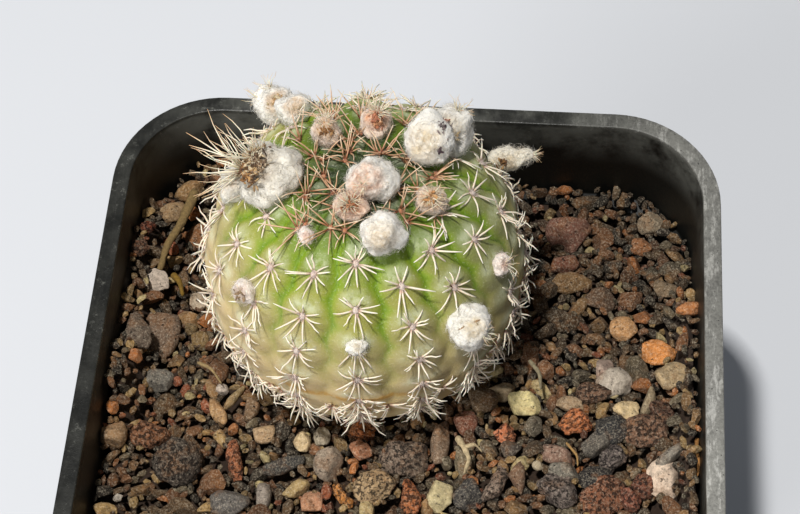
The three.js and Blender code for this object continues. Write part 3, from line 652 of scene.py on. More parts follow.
def weathered_stone(seed, middle, size, turn, colour, rough):
    """A broken stone of a size at its place, with an even skin roughened by lumps and pores."""
    stone = broken_stone(seed, 2, 9)
    points = corners_of(stone)
    span = points.max(axis=0) - points.min(axis=0)
    points = (points - (points.max(axis=0) + points.min(axis=0)) / 2) / span * size
    move_corners(stone, points @ np.array(Matrix.Rotation(-turn * DEGREE, 3, "Z")) + middle)
    apply_modifier(stone, "REMESH", mode="VOXEL", voxel_size=0.058 * max(size))
    displace(stone, "SOFT_NOISE", 1.6 * MM, 0.12 * min(size))
    if rough:
        displace(stone, "HARD_NOISE", 0.55 * MM, 0.38 * MM)
    displace(stone, "SOFT_NOISE", 0.3 * MM, 0.1 * MM)
    carry(stone, "tint", np.tile(linear(colour), (len(stone.data.vertices), 1)))
    choose(stone)
    bpy.ops.object.shade_smooth()
    return stone


def shape_of(template):
    """Points and triangles of a small shape."""
    choose(template)
    bpy.ops.object.mode_set(mode="EDIT")
    bpy.ops.mesh.select_all(action="SELECT")
    bpy.ops.mesh.quads_convert_to_tris()
    bpy.ops.object.mode_set(mode="OBJECT")
    faces = np.array([tuple(polygon.vertices) for polygon in template.data.polygons])
    return corners_of(template), faces


def copies(templates, picks, matrices, shades=None, tints=None, smoothed=True):
    """One mesh of many copies of small shapes, each placed by its own matrix.

    Every point carries how far along its shape it lies, and its copy's shade or tint."""
    shapes = [shape_of(template) for template in templates]
    for template in templates:
        bpy.data.objects.remove(template)
    points, faces, along, owner = [], [], [], []
    start = 0
    for kind, (corners, triangles) in enumerate(shapes):
        chosen = np.nonzero(picks == kind)[0]
        turned = np.einsum("nij,vj->nvi", matrices[chosen, :3, :3], corners)
        points.append((turned + matrices[chosen, None, :3, 3]).reshape(-1, 3))
        offsets = start + np.arange(len(chosen)) * len(corners)
        faces.append((triangles[None] + offsets[:, None, None]).reshape(-1, 3))
        along.append(np.tile(np.clip(corners[:, 2], 0, 1), len(chosen)))
        owner.append(np.repeat(chosen, len(corners)))
        start += len(chosen) * len(corners)
    owner = np.concatenate(owner)
    mesh = bpy.data.meshes.new("copies")
    mesh.from_pydata(np.concatenate(points).tolist(), [], np.concatenate(faces).tolist())
    mesh.polygons.foreach_set("use_smooth", np.full(len(mesh.polygons), smoothed))
    mesh.update()
    made = bpy.data.objects.new("copies", mesh)
    bpy.context.scene.collection.objects.link(made)
    carry(made, "along", np.concatenate(along))
    if shades is not None:
        carry(made, "shade", shades[owner])
    if tints is not None:
        carry(made, "tint", tints[owner])
    return made


def standing(roots, directions, lean_to, sizes):
    """Matrices that stand unit shapes on their roots, with each shape's X turned towards a vector."""
    z = unit(directions)
    x = unit(lean_to - np.sum(lean_to * z, axis=1, keepdims=True) * z)
    y = np.cross(z, x)
    matrices = np.zeros((len(roots), 4, 4))
    matrices[:, :3, :3] = np.stack([x, y, z], axis=2) * sizes[:, None, None]
    matrices[:, :3, 3] = roots
    matrices[:, 3, 3] = 1
    return matrices


def tumbled(draw, centres, half_sizes, tilt=0.35):
    """Matrices that lay unit stones down, turned at random and tilted by about so much."""
    count = len(centres)
    turns = draw.uniform(0, 2 * math.pi, count)
    tilts = draw.normal(0, tilt, (count, 2))
    matrices = np.zeros((count, 4, 4))
    for index in range(count):
        turn = Matrix.Rotation(turns[index], 3, "Z") @ Matrix.Rotation(tilts[index, 0], 3, "X")
        turn = turn @ Matrix.Rotation(tilts[index, 1], 3, "Y")
        matrices[index, :3, :3] = np.array(turn) * half_sizes[index]
    matrices[:, :3, 3] = centres
    matrices[:, 3, 3] = 1
    return matrices


# Colours of the strewn grains, and how often each comes beside the others
GRAIN_TINTS = {
    "#5a4634": 26,
    "#7a5238": 16,
    "#332c27": 18,
    "#6b6052": 12,
    "#a78a62": 12,
    "#8c6c4c": 12,
    "#b5713f": 5,
    "#cdbb92": 4,
    "#8a4c34": 5,
}

# Larger stones that stand for a node each: colour and finish
NODE_STONES = {
    "stone_cream": ("#dccb90", "fine"),
    "stone_orange_porous": ("#d07a46", "porous"),
    "stone_orange_right": ("#cc8444", "fine"),
    "stone_tan": ("#c0a076", "porous"),
    "stone_pink_white": ("#ecd3ba", "fine"),
    "stone_grey_right": ("#b8ab9a", "fine"),
    "stone_brown_back": ("#7d5444", "fine"),
    "stone_black_porous": ("#7a6c64", "porous"),
    "stone_red_brown": ("#85614a", "porous"),
    "stone_flat_left": ("#76604e", "fine"),
    "stone_dark_left": ("#4f443b", "porous"),
}
# Stones laid one by one among the grains, in millimetres: what each is, its place, size, turn in degrees,
# colour and finish
LOOSE_STONES = [
    ("tan flat", (9.4, 2.2), (3.3, 2.0, 1.8), 10, "#b09a78", "fine"),
    ("red-orange", (10.0, -2.7), (2.5, 2.6, 2.2), 0, "#cf7a50", "porous"),
    ("tan oval", (16.2, 1.0), (2.9, 1.8, 1.6), -8, "#a58a6a", "fine"),
    ("brown flat", (18.4, 2.6), (3.8, 3.0, 2.0), 20, "#74543f", "porous"),
    ("tan finger", (23.7, 1.7), (1.3, 4.0, 1.8), -12, "#9c8a6c", "fine"),
    ("tan block", (25.9, 4.0), (3.4, 3.0, 2.4), 10, "#b39a74", "fine"),
    ("cream half", (21.7, 0.4), (2.5, 2.3, 2.0), 30, "#d6bb8c", "fine"),
    ("brown and orange", (24.9, 0.3), (2.6, 3.6, 2.6), 0, "#6d4a38", "porous"),
    ("slate", (20.4, -1.7), (3.9, 3.3, 2.4), 15, "#2b2b2c", "fine"),
    ("grey wedge", (18.7, -3.3), (2.4, 3.4, 2.2), -35, "#5b554d", "fine"),
    ("grey finger", (25.8, -4.8), (1.2, 4.2, 1.6), -50, "#8a8276", "fine"),
    ("purple grey", (20.4, -4.7), (3.0, 3.2, 2.4), 0, "#6b5f5a", "porous"),
    ("black", (18.8, -6.8), (3.6, 2.6, 2.2), 20, "#232020", "fine"),
    ("red-brown ball", (23.3, -7.4), (2.7, 3.0, 2.6), 0, "#7c4a36", "porous"),
    ("red-brown large", (19.5, -8.8), (5.0, 4.2, 3.2), 30, "#8a573c", "porous"),
    ("red-brown small", (22.1, -8.8), (2.2, 2.8, 2.2), 0, "#8f5540", "porous"),
    ("grey rounded", (15.7, -6.8), (3.2, 2.4, 2.2), -5, "#6d675c", "fine"),
    ("cream crumb", (13.3, -6.2), (1.2, 1.0, 1.0), 0, "#a5957a", "fine"),
    ("brown bar", (15.0, -4.8), (3.3, 1.8, 1.6), -10, "#8a6b5a", "fine"),
    ("brown upright", (11.4, -7.5), (1.6, 3.4, 2.0), 0, "#7a5c46", "fine"),
    ("mottled finger", (9.5, -8.0), (1.9, 4.8, 2.2), -20, "#96806f", "porous"),
    ("dark crumb", (10.7, -4.4), (2.2, 1.9, 1.8), 0, "#4a4038", "fine"),
    ("brown post", (3.9, -4.0), (1.9, 5.0, 2.2), -4, "#7f6650", "fine"),
    ("purple-brown", (1.4, -5.9), (3.3, 4.0, 2.6), 0, "#75604f", "porous"),
    ("cream square", (4.2, -9.6), (2.6, 3.1, 2.4), -5, "#d0bf90", "fine"),
    ("dark slate", (6.8, -9.4), (3.0, 3.0, 2.4), 40, "#3d3a38", "fine"),
    ("orange-brown", (1.5, -9.9), (2.3, 4.0, 2.4), 5, "#b86d40", "porous"),
    ("olive", (12.7, -1.6), (2.0, 2.5, 1.9), 0, "#5c5344", "fine"),
    ("red-brown low", (6.2, -1.8), (2.4, 3.0, 2.0), 0, "#744430", "fine"),
    ("brown by the stem", (7.7, 0.9), (3.0, 2.8, 2.0), 0, "#6f573d", "fine"),
    ("orange under the stem", (-3.5, -3.2), (2.9, 2.6, 2.2), 20, "#bb6a34", "porous"),
    ("reddish", (-3.5, -5.6), (2.4, 2.3, 2.0), 0, "#a06a4a", "fine"),
    ("grey-brown", (-0.1, -6.1), (3.6, 3.9, 2.6), 15, "#806c5c", "porous"),
    ("grey lump", (-6.4, -7.2), (2.9, 3.3, 2.4), 10, "#938270", "fine"),
    ("cream ring", (-9.2, -4.8), (1.8, 2.2, 1.8), 0, "#cdb387", "fine"),
    ("grey-tan", (-7.4, -4.1), (1.8, 2.0, 1.8), 0, "#a3967f", "fine"),
    ("tan lump", (-13.0, -4.0), (2.3, 2.2, 2.0), 0, "#bd9d76", "fine"),
    ("tan finger left", (-17.7, -1.9), (1.5, 3.1, 1.8), 30, "#bd9566", "fine"),
    ("orange spindle", (-15.5, -6.9), (1.9, 5.0, 2.2), 8, "#ab653f", "porous"),
    ("brown spindle", (-14.4, -1.6), (1.4, 2.8, 1.6), -5, "#81664b", "fine"),
    ("slate bar", (-10.7, -7.4), (4.6, 1.5, 1.6), 22, "#3c3a37", "fine"),
    ("olive-tan", (-9.4, -9.7), (2.9, 1.7, 1.8), 35, "#a78d5e", "fine"),
    ("peach", (-7.7, -11.0), (2.1, 2.4, 2.0), 0, "#c78f6c", "fine"),
    ("orange twist", (-4.8, -10.4), (1.3, 3.2, 1.8), 35, "#c9843f", "porous"),
    ("grey chunk", (-15.4, -11.5), (4.0, 3.0, 2.4), 10, "#65605b", "fine"),
    ("grey upright", (-12.3, -10.7), (1.5, 3.3, 2.0), 0, "#918579", "fine"),
    ("brown cluster", (-24.0, -4.7), (4.6, 3.6, 2.8), 20, "#93603f", "porous"),
    ("tan left", (-27.0, -5.7), (2.6, 2.6, 2.2), 0, "#a07e5a", "fine"),
    ("white crumb", (-17.6, 0.8), (1.3, 1.1, 1.1), 0, "#c0b0a0", "fine"),
    ("grey curl", (-23.9, 1.4), (3.0, 2.6, 2.0), 0, "#716c63", "fine"),
    ("tan stick", (-16.2, -0.2), (0.9, 3.6, 1.2), -35, "#a0885f", "fine"),
    ("orange crumb", (-26.0, 2.3), (1.5, 1.4, 1.3), 0, "#ae6d3e", "fine"),
    ("white pebble", (-25.7, -12.2), (0.9, 0.9, 0.9), 0, "#bdb2a3", "fine"),
    ("pale left", (-25.6, 12.6), (2.8, 2.6, 2.3), 0, "#d6c4b2", "fine"),
    ("pale left behind", (-21.4, 11.3), (1.9, 2.1, 1.8), 0, "#c2ae94", "fine"),
    ("orange-tan back", (21.3, 10.7), (3.0, 2.8, 2.3), 10, "#b98a5a", "fine"),
    ("orange back", (27.3, 10.7), (2.6, 1.6, 1.6), 10, "#c07c48", "fine"),
    ("pinkish grey", (19.5, 5.5), (2.0, 2.6, 2.0), 10, "#a08a7c", "fine"),
    ("cream back", (24.0, 24.5), (3.0, 2.6, 2.2), 0, "#8f7f68", "fine"),
    ("orange far", (23.0, 21.4), (2.4, 2.0, 1.9), 0, "#93603a", "fine"),
    ("brown far", (18.9, 14.1), (3.2, 2.6, 2.2), 0, "#5b4534", "fine"),
    ("red far", (15.3, 18.9), (3.0, 2.4, 2.0), 0, "#6e4230", "fine"),
    ("tan far", (25.5, 15.8), (2.6, 2.2, 2.0), 0, "#7d684f", "fine"),
    ("tan far left", (-24.0, 24.6), (3.4, 2.6, 2.2), 20, "#a07c50", "fine"),
    ("grey flat left end", (-26.3, 5.4), (3.0, 4.4, 1.7), 15, "#66574a", "fine"),
    ("tan far left low", (-25.4, 21.4), (3.0, 2.6, 2.2), 0, "#a58660", "fine"),
    ("red far left", (-27.0, 17.6), (1.8, 1.6, 1.5), 0, "#7a3c24", "porous"),
    ("brown far left", (-27.2, 14.6), (1.9, 2.0, 1.6), 0, "#6b4631", "porous"),
]


def make_node_stones(finishes):
    """A finer stone in the place of each of the larger stones' solids."""
    for seed, (node, (colour, kind)) in enumerate(NODE_STONES.items()):
        low, high = (np.array(corner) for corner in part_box(node))
        stone = weathered_stone(700 + seed, (low + high) / 2, high - low, 0, colour, kind == "porous")
        dress(stone, node.replace("stone_", "") + "_stone", finishes[kind], [node])


def make_loose_stones(finishes):
    """The stones laid one by one among the grains, joined in one piece for each finish."""
    for kind, finish in finishes.items():
        laid = []
        for seed, (_, (x, y), size, turn, colour, own_kind) in enumerate(LOOSE_STONES):
            if own_kind == kind:
                size = np.array(size) * MM
                rest = soil_top(x * MM, y * MM) + GRAVEL_TOP - 0.25 * size[2]
                middle = np.array([x * MM, y * MM, rest])
                laid.append(weathered_stone(900 + seed, middle, size, turn, colour, kind == "porous"))
        dress(join(laid), kind + "_loose_stones", finish)


# Dry roots and splinters on the gravel: places that each passes in millimetres, thickness, colour
TWIGS = [
    ([(-22.9, 23.4, 47.9), (-23.7, 20.0, 47.6), (-25.0, 16.4, 47.8), (-25.5, 13.6, 47.4)], 1.1, "#8b7346"),
    ([(-23.9, 12.9, 47.9), (-23.1, 12.0, 48.1), (-22.6, 10.6, 47.6)], 0.8, "#8a6a1e"),
    ([(28.0, -3.4, 49.9), (27.9, -5.0, 50.6), (28.1, -6.4, 50.4), (27.9, -7.8, 49.8)], 0.45, "#a9763c"),
    ([(27.9, -5.0, 50.6), (27.2, -5.8, 50.0)], 0.35, "#a9763c"),
    ([(5.5, -3.9, 48.5), (6.3, -5.2, 49.0), (6.8, -6.4, 48.9), (6.5, -7.6, 48.3)], 0.75, "#c9b48c"),
    ([(6.3, -5.2, 49.0), (7.3, -4.8, 49.0), (8.0, -5.3, 48.5)], 0.55, "#c9b48c"),
    ([(12.0, 4.8, 48.6), (13.1, 3.2, 48.9), (13.3, 1.6, 48.5)], 0.5, "#8d8266"),
    ([(-20.2, 2.8, 48.4), (-18.6, 1.9, 48.9), (-17.4, 0.4, 48.5)], 0.4, "#a38a5e"),
    ([(15.8, -4.0, 48.8), (16.9, -5.6, 49.4), (17.0, -6.6, 49.0)], 0.35, "#b08a52"),
]


def make_twigs(finish):
    """Dry roots and splinters: a small ring drawn along each path, thinned and gnarled."""
    made = []
    for path, thickness, colour in TWIGS:
        path = np.array(path) * MM
        heading = Vector(path[1] - path[0]).to_track_quat("Z", "Y").to_euler()
        twig = add(bpy.ops.mesh.primitive_circle_add, vertices=8, radius=thickness / 2 * MM,
                   fill_type="NGON", location=path[0], rotation=heading)
        bpy.ops.object.mode_set(mode="EDIT")
        bpy.ops.mesh.select_all(action="SELECT")
        for start, end in zip(path, path[1:]):
            for _ in range(3):
                bpy.ops.mesh.extrude_region_move(TRANSFORM_OT_translate={"value": (end - start) / 3})
            bpy.ops.transform.resize(value=(0.8, 0.8, 0.8), center_override=end)
        bpy.ops.mesh.select_all(action="SELECT")
        bpy.ops.mesh.normals_make_consistent(inside=False)
        bpy.ops.object.mode_set(mode="OBJECT")
        apply_modifier(twig, "SUBSURF", levels=1, render_levels=1)
        displace(twig, "SOFT_NOISE", 1.2 * MM, 0.5 * thickness * MM)
        carry(twig, "tint", np.tile(linear(colour), (len(twig.data.vertices), 1)))
        made.append(twig)
    twigs = join(made)
    choose(twigs)
    bpy.ops.object.shade_smooth()
    dress(twigs, "dry_roots", finish)


def stem_envelope(angle):
    """Distance from the stem's middle to its rib tops, at an angle from the crown."""
    sink = CROWN_SINK * np.exp(-((angle / CROWN_SPREAD) ** 2))
    root = smooth(angle, ROOT_START, math.pi)
    return STEM_RADIUS - sink + (ROOT_REACH - STEM_RADIUS) * root


def areole_angle(count):
    """Angle from the crown of an areole, by its number down the rib."""
    return FIRST_AREOLE + AREOLE_STEP * (1 - AREOLE_SHRINK ** count) / (1 - AREOLE_SHRINK)


def areole_count(angle):
    """The areole's number down the rib at an angle from the crown, whole at an areole."""
    travelled = (angle - FIRST_AREOLE) * (1 - AREOLE_SHRINK) / AREOLE_STEP
    return np.log(1 - travelled) / math.log(AREOLE_SHRINK)


def wart_place(angle, longitude):
    """Share of the way from a rib's top to its furrow, and place along it from the nearest areole."""
    position = (FIRST_RIB - longitude) * RIB_COUNT / (2 * math.pi)
    rib = np.floor(position)
    count = areole_count(angle)
    wave = np.cos(2 * math.pi * (count + RIB_STAGGER * rib))
    next_wave = np.cos(2 * math.pi * (count + RIB_STAGGER * (rib + 1)))
    boundary = rib + 0.5 + FURROW_WAVE * (wave - next_wave)
    near = position < boundary
    across = np.where(near, (position - rib) / (boundary - rib), (rib + 1 - position) / (rib + 1 - boundary))
    own = count + RIB_STAGGER * np.where(near, rib, rib + 1)
    return across, own - np.round(own)


def towards(angle, longitude):
    """The direction at an angle from the crown and a longitude."""
    return np.stack([
        np.sin(angle) * np.cos(longitude),
        np.sin(angle) * np.sin(longitude),
        np.cos(angle) * np.ones_like(longitude),
    ], axis=-1)


def stem_relief(angle, longitude):
    """Depth below the envelope of furrows and of the dips between warts."""
    across, along = wart_place(angle, longitude)
    furrow = smooth(across, 0.35, 1.0)
    dip = 1 - np.cos(math.pi * along) ** 2
    shown = smooth(angle, 0, RELIEF_FULL_FROM) * (1 - smooth(angle, RELIEF_FADE_FROM, RELIEF_FADE_TO))
    crease = smooth(across, 0.8, 1.0)
    relief = RIB_DEPTH * (0.75 * furrow + 0.25 * crease) + WART_DEPTH * (1 - furrow) * dip
    return relief * shown


def make_stem(finish):
    """The stem: a ball whose points are moved to the ribbed and warted surface."""
    stem = add(bpy.ops.mesh.primitive_uv_sphere_add, segments=272, ring_count=168, radius=1)
    directions = unit(corners_of(stem))
    angle = np.arccos(np.clip(directions[:, 2], -1, 1))
    longitude = np.arctan2(directions[:, 1], directions[:, 0])
    reach = stem_envelope(angle) - stem_relief(angle, longitude)
    move_corners(stem, STEM_CENTRE + directions * reach[:, None])
    across, along = wart_place(angle, longitude)
    shown = smooth(angle, 0, 30 * DEGREE)
    between_warts = np.exp(-(((0.5 - np.abs(along)) / 0.09) ** 2))
    carry(stem, "low", angle / math.pi)
    carry(stem, "furrow", smooth(across + 0.2 * between_warts, 0.6, 0.95) * shown)
    carry(stem, "crease", smooth(across + 0.05 * between_warts, 0.86, 0.98) * shown)
    felt = np.exp(-(((along + 0.24) / 0.17) ** 2)) * (1 - smooth(across, 0.35, 0.8))
    carry(stem, "felt", felt * shown)
    line = np.exp(-(((angle - CORK_ANGLE) / CORK_HALF_WIDTH) ** 2))
    carry(stem, "cork", line * smooth(np.cos(longitude - CORK_LONGITUDE), 0.9, 0.95))
    choose(stem)
    bpy.ops.object.shade_smooth()
    return dress(stem, "stem_body", finish, ["stem"])


# How wide unit spines and bristles are ring by ring, beside their base, and the radius of the base
SPINE_TAPER = (0.98, 0.9, 0.7, 0.3)
BRISTLE_TAPER = (0.95, 0.8, 0.6, 0.25)
SPINE_BASE = 0.05
BRISTLE_BASE = 0.02


def needle_shape(base_radius, taper, bends, sides=4):
    """A unit needle along Z, grown ring by ring: each ring narrower, moved on and bent towards X."""
    needle = add(bpy.ops.mesh.primitive_circle_add, vertices=sides, radius=base_radius, fill_type="NGON")
    bpy.ops.object.mode_set(mode="EDIT")
    bpy.ops.mesh.select_all(action="SELECT")
    step = 1 / len(taper)
    heading = 0.0
    width = 1.0
    for share, bend in zip(taper, bends):
        heading += bend
        move = (step * math.sin(heading), 0, step * math.cos(heading))
        bpy.ops.mesh.extrude_region_move(TRANSFORM_OT_translate={"value": move})
        bpy.ops.transform.resize(value=(share / width,) * 3)
        width = share
    bpy.ops.mesh.select_all(action="SELECT")
    bpy.ops.mesh.normals_make_consistent(inside=False)
    bpy.ops.object.mode_set(mode="OBJECT")
    return needle


def surface_frame(angle, longitude):
    """Outward, down-rib and sideways directions at places on the stem."""
    out = towards(angle, longitude)
    down = towards(angle + math.pi / 2, longitude)
    return out, down, np.cross(out, down)


def areole_places():
    """Angle from the crown and longitude of every areole."""
    places = []
    for rib in range(RIB_COUNT):
        longitude = FIRST_RIB - rib * 2 * math.pi / RIB_COUNT
        count = math.ceil(RIB_STAGGER * rib) - RIB_STAGGER * rib
        while areole_angle(count) < LAST_AREOLE:
            places.append((areole_angle(count), longitude))
            count += 1
    return np.array(places)


# Woolly buds and dry fruits: the finish of each, then its lobes as latitude and longitude on the stem
# in degrees, size in millimetres along the rib, across it and outward, lift of the middle out of the
# stem, and the latitude and longitude that it points to where that isn't its own
WOOL = {
    "fruit_left": ("grey", [((61, -176), (6.8, 6.0, 5.4), 1.5), ((42, 174), (4.4, 4.4, 2.6), 0.2)]),
    "fruit_back_left": ("white", [((34, 130), (4.6, 4.2, 4.4), 1.5), ((47, 129), (3.4, 3.4, 3.0), 0.9)]),
    "fruit_back_right": ("white", [((66, 27), (4.3, 4.9, 4.5), 1.6), ((54, 37), (5.2, 5.0, 4.6), 1.4)]),
    "bud_right_pointed": ("cream", [((25, 29), (2.4, 2.6, 4.4), 1.7, (8, 8))]),
    "bud_crown": ("white", [((82, -50), (4.0, 4.3, 4.0), 1.0)]),
    "bud_crown_brown": ("brown", [((75, -94), (3.0, 3.1, 3.0), 0.6)]),
    "bud_front_top": ("white", [((64, -67), (3.9, 4.4, 4.1), 1.3)]),
    "bud_pink_right": ("brown", [((64, -21), (2.9, 2.6, 3.0), 0.7)]),
    "bud_pink_left": ("brown", [((72, 131), (3.0, 2.7, 3.2), 0.7)]),
    "bud_pink_back": ("brown", [((70, 77), (3.0, 2.7, 3.2), 0.7)]),
    "bud_small_left": ("pink", [((61, -122), (1.5, 1.5, 1.5), 0.6)]),
    "bud_lower_right": ("white", [((23, -46), (4.2, 4.3, 4.0), 1.2)]),
    "bud_lower_front": ("white", [((28, -87), (1.5, 1.8, 1.5), 0.4)]),
    "bud_lower_left": ("pink", [((31, -137), (2.2, 2.3, 1.8), 0.5)]),
    "bud_side_right": ("pink", [((28, -19), (1.7, 2.0, 1.7), 0.4)]),
}
MATTED_PER_SQUARE_MM = 13
FUZZ_PER_SQUARE_MM = 20
# How much the outer end of a bud narrows
TAPER = {"bud_right_pointed": 0.72}
# Where the wool is stained: the latitude and longitude of the stain's middle on the bud, its reach in
# degrees, and its colour
BLUSH = {
    "fruit_left": ((58, -146), 62, "#9d7f58"),
    "fruit_back_left": ((62, -70), 50, "#d3a873"),
    "fruit_back_right": ((47, -110), 60, "#d3bb90"),
    "bud_right_pointed": ((20, -110), 60, "#b79a6c"),
    "bud_crown": ((42, -118), 76, "#cf9062"),
    "bud_crown_brown": ((60, -90), 110, "#bd7b48"),
    "bud_front_top": ((40, -95), 60, "#cdb794"),
    "bud_pink_right": ((66, -60), 84, "#dba868"),
    "bud_pink_left": ((70, -80), 62, "#bf9257"),
    "bud_pink_back": ((70, -80), 80, "#cf8a55"),
    "bud_small_left": ((50, -90), 40, "#d9b49c"),
    "bud_lower_right": ((60, -60), 40, "#cdb890"),
    "bud_lower_front": ((60, -80), 40, "#cdb890"),
    "bud_lower_left": ((40, -120), 60, "#a9896a"),
    "bud_side_right": ((40, -30), 60, "#c79a80"),
}

# Dry flower remains on the wool: the bud and its lobe, the latitude and longitude of their middle, how
# far they stray from it in millimetres, number of bits, and colours
REMAINS = [
    ("fruit_left", 0, (45, -158), 0.42, 56, ("#6b4a30", "#8a6238", "#a8794a", "#4a3626")),
    ("fruit_left", 0, (40, -132), 0.5, 60, ("#a8794a", "#8a6238", "#c79a62", "#6b4a30")),
    ("fruit_left", 0, (72, -165), 0.42, 50, ("#6f5844", "#4a3626", "#8c7458")),
    ("fruit_left", 0, (60, -148), 1.0, 150, ("#dcc6a0", "#cba878", "#8f7350", "#efe2c6", "#6b5038")),
    ("fruit_left", 0, (70, -110), 0.6, 50, ("#8c7660", "#a38c70", "#bda88c")),
    ("fruit_back_left", 0, (62, -70), 0.5, 40, ("#c69a5e", "#e3cfa8", "#d8b98a")),
    ("fruit_back_right", 0, (60, 0), 0.34, 60, ("#5c4a50", "#7d6e6c", "#43353a", "#a0938c")),
    ("fruit_back_right", 1, (56, -98), 0.26, 34, ("#5c4a50", "#7d6e6c", "#43353a", "#a0938c")),
    ("fruit_back_right", 1, (68, -112), 0.16, 12, ("#c8743a", "#a0583a")),
    ("fruit_back_right", 1, (38, -76), 0.3, 20, ("#cbb48a", "#b59a70")),
    ("fruit_back_right", 0, (28, -60), 0.07, 5, ("#43353a", "#5c4a50")),
    ("bud_right_pointed", 0, (29, -128), 0.35, 22, ("#8a6238", "#5f4024", "#b08a58")),
    ("bud_crown_brown", 0, (60, -84), 0.5, 14, ("#b3724a", "#c08a64")),
    ("bud_pink_left", 0, (60, -84), 0.36, 34, ("#a77640", "#7f5730", "#c79a68")),
    ("bud_pink_back", 0, (62, -84), 0.4, 30, ("#b0704e", "#c58e66", "#b9785a")),
    ("bud_pink_right", 0, (64, -83), 0.34, 14, ("#d8a870", "#c8935e")),
    ("bud_lower_right", 0, (56, -122), 0.12, 4, ("#c9b48e", "#b3936a")),
    ("bud_lower_right", 0, (68, -24), 0.12, 4, ("#c9b48e", "#b3936a")),
    ("bud_lower_left", 0, (40, -120), 0.3, 12, ("#8a6e50", "#a58a68")),
]
# Bristles of the buds and fruits: the bud and its lobe, the latitude and longitude at which they leave
# it, where they point, how far they fan about it in degrees, length in millimetres, number
BRISTLES = [
    ("fruit_left", 0, (24, -168), (14, -176), 62, 5.8, 26),
    ("fruit_left", 0, (52, 160), (40, 168), 46, 5.2, 14),
    ("fruit_left", 0, (60, 120), (62, 110), 60, 2.4, 26),
    ("fruit_left", 0, (60, -148), (50, -165), 70, 1.6, 40),
    ("fruit_back_left", 0, (50, 129), (50, 129), 60, 1.8, 14),
    ("fruit_back_left", 0, (20, 170), (10, 176), 60, 1.6, 12),
    ("fruit_back_right", 1, (52, 50), (40, 50), 75, 2.0, 30),
    ("bud_right_pointed", 0, (8, 8), (8, 4), 30, 1.3, 30),
    ("bud_crown", 0, (30, -120), (35, -115), 80, 1.3, 26),
    ("bud_crown_brown", 0, (60, -100), (55, -105), 85, 1.7, 56),
    ("bud_pink_right", 0, (70, -60), (66, -50), 84, 1.8, 60),
    ("bud_pink_left", 0, (82, 100), (76, 110), 66, 1.9, 40),
    ("bud_pink_back", 0, (82, 60), (72, 50), 70, 2.3, 60),
    ("bud_lower_right", 0, (23, -30), (20, -14), 60, 1.9, 16),
    ("bud_lower_front", 0, (10, -88), (-20, -88), 60, 1.6, 9),
    ("bud_lower_left", 0, (31, -137), (31, -137), 75, 1.3, 12),
    ("bud_side_right", 0, (20, -10), (14, 0), 60, 1.7, 16),
]


def direction_to(at):
    """The direction of a latitude and longitude in degrees."""
    return towards(np.array((90 - at[0]) * DEGREE), np.array(at[1] * DEGREE))


def lobe_basis(at, size, lift, aim=None):
    """A lobe's axes, down the rib, sideways and outward, its middle and its half sizes."""
    aim = aim or at
    out, down, side = surface_frame(np.array((90 - aim[0]) * DEGREE), np.array(aim[1] * DEGREE))
    centre = STEM_CENTRE + direction_to(at) * (STEM_RADIUS + lift * MM)
    return np.stack([down, side, out]), centre, np.array(size) / 2 * MM


def make_wool_lobe(seed, lobe, taper, blush_at, blush_reach):
    """One lobe of a bud: a soft lump with fibres matted over it and a fuzz of fine ends."""
    draw = np.random.default_rng(seed)
    basis, centre, half = lobe_basis(*lobe)
    core = add(bpy.ops.mesh.primitive_ico_sphere_add, subdivisions=5, radius=1)
    points = corners_of(core)
    points[:, :2] *= 1 - taper * smooth(points[:, 2:], -0.2, 1.0)
    move_corners(core, (points * half * 0.93) @ basis + centre)
    displace(core, "SOFT_NOISE", 1.3 * min(half), 1.15 * min(half))
    displace(core, "SOFT_NOISE", 0.5 * MM, 0.2 * MM)
    points = corners_of(core)
    out = unit((points - centre) @ basis.T / half ** 2 @ basis)
    carry(core, "along", np.zeros(len(points)))
    carry(core, "shade", np.full(len(points), 0.3))
    area = 4 * math.pi * (half[0] * half[1] + half[1] * half[2] + half[0] * half[2]) / 3 / MM ** 2
    matted = int(area * MATTED_PER_SQUARE_MM)
    matted = grow(draw, points, out, matted, lean=(-4, 22), length=(0.7, 1.4), taper=(0.8, 0.3))
    fuzz = int(area * FUZZ_PER_SQUARE_MM)
    fuzz = grow(draw, points, out, fuzz, lean=(20, 80), length=(0.2, 0.6), taper=(0.4,))
    parts = [core, matted, fuzz]
    for part in parts:
        facing = unit(corners_of(part) - centre) @ direction_to(blush_at)
        carry(part, "blush", smooth(facing, math.cos(blush_reach * DEGREE), 1))
    return parts


def grow(draw, points, out, count, lean, length, taper):
    """Fine fibres rooted on a lobe, leaning out of its skin by degrees, with lengths in millimetres."""
    picked = draw.integers(0, len(points), count)
    out = out[picked]
    loose = unit(draw.normal(size=(count, 3)))
    across = unit(loose - np.sum(loose * out, axis=1, keepdims=True) * out)
    lean = draw.uniform(*lean, (count, 1)) * DEGREE
    directions = across * np.cos(lean) + out * np.sin(lean)
    roots = points[picked] - out * 0.03 * MM + across * draw.uniform(0, 0.1, (count, 1)) * MM
    fibre = needle_shape(0.014, taper, np.linspace(0.15, 0.75, len(taper)), sides=3)
    matrices = standing(roots, directions, -out, draw.uniform(*length, count) * MM)
    shades = np.clip(draw.normal(0.3, 0.25, count), 0, 1)
    return copies([fibre], np.zeros(count, int), matrices, shades=shades)


def join(parts):
    """One object from several."""
    choose(parts[0])
    for part in parts[1:]:
        part.select_set(True)
    bpy.ops.object.join()
    return parts[0]


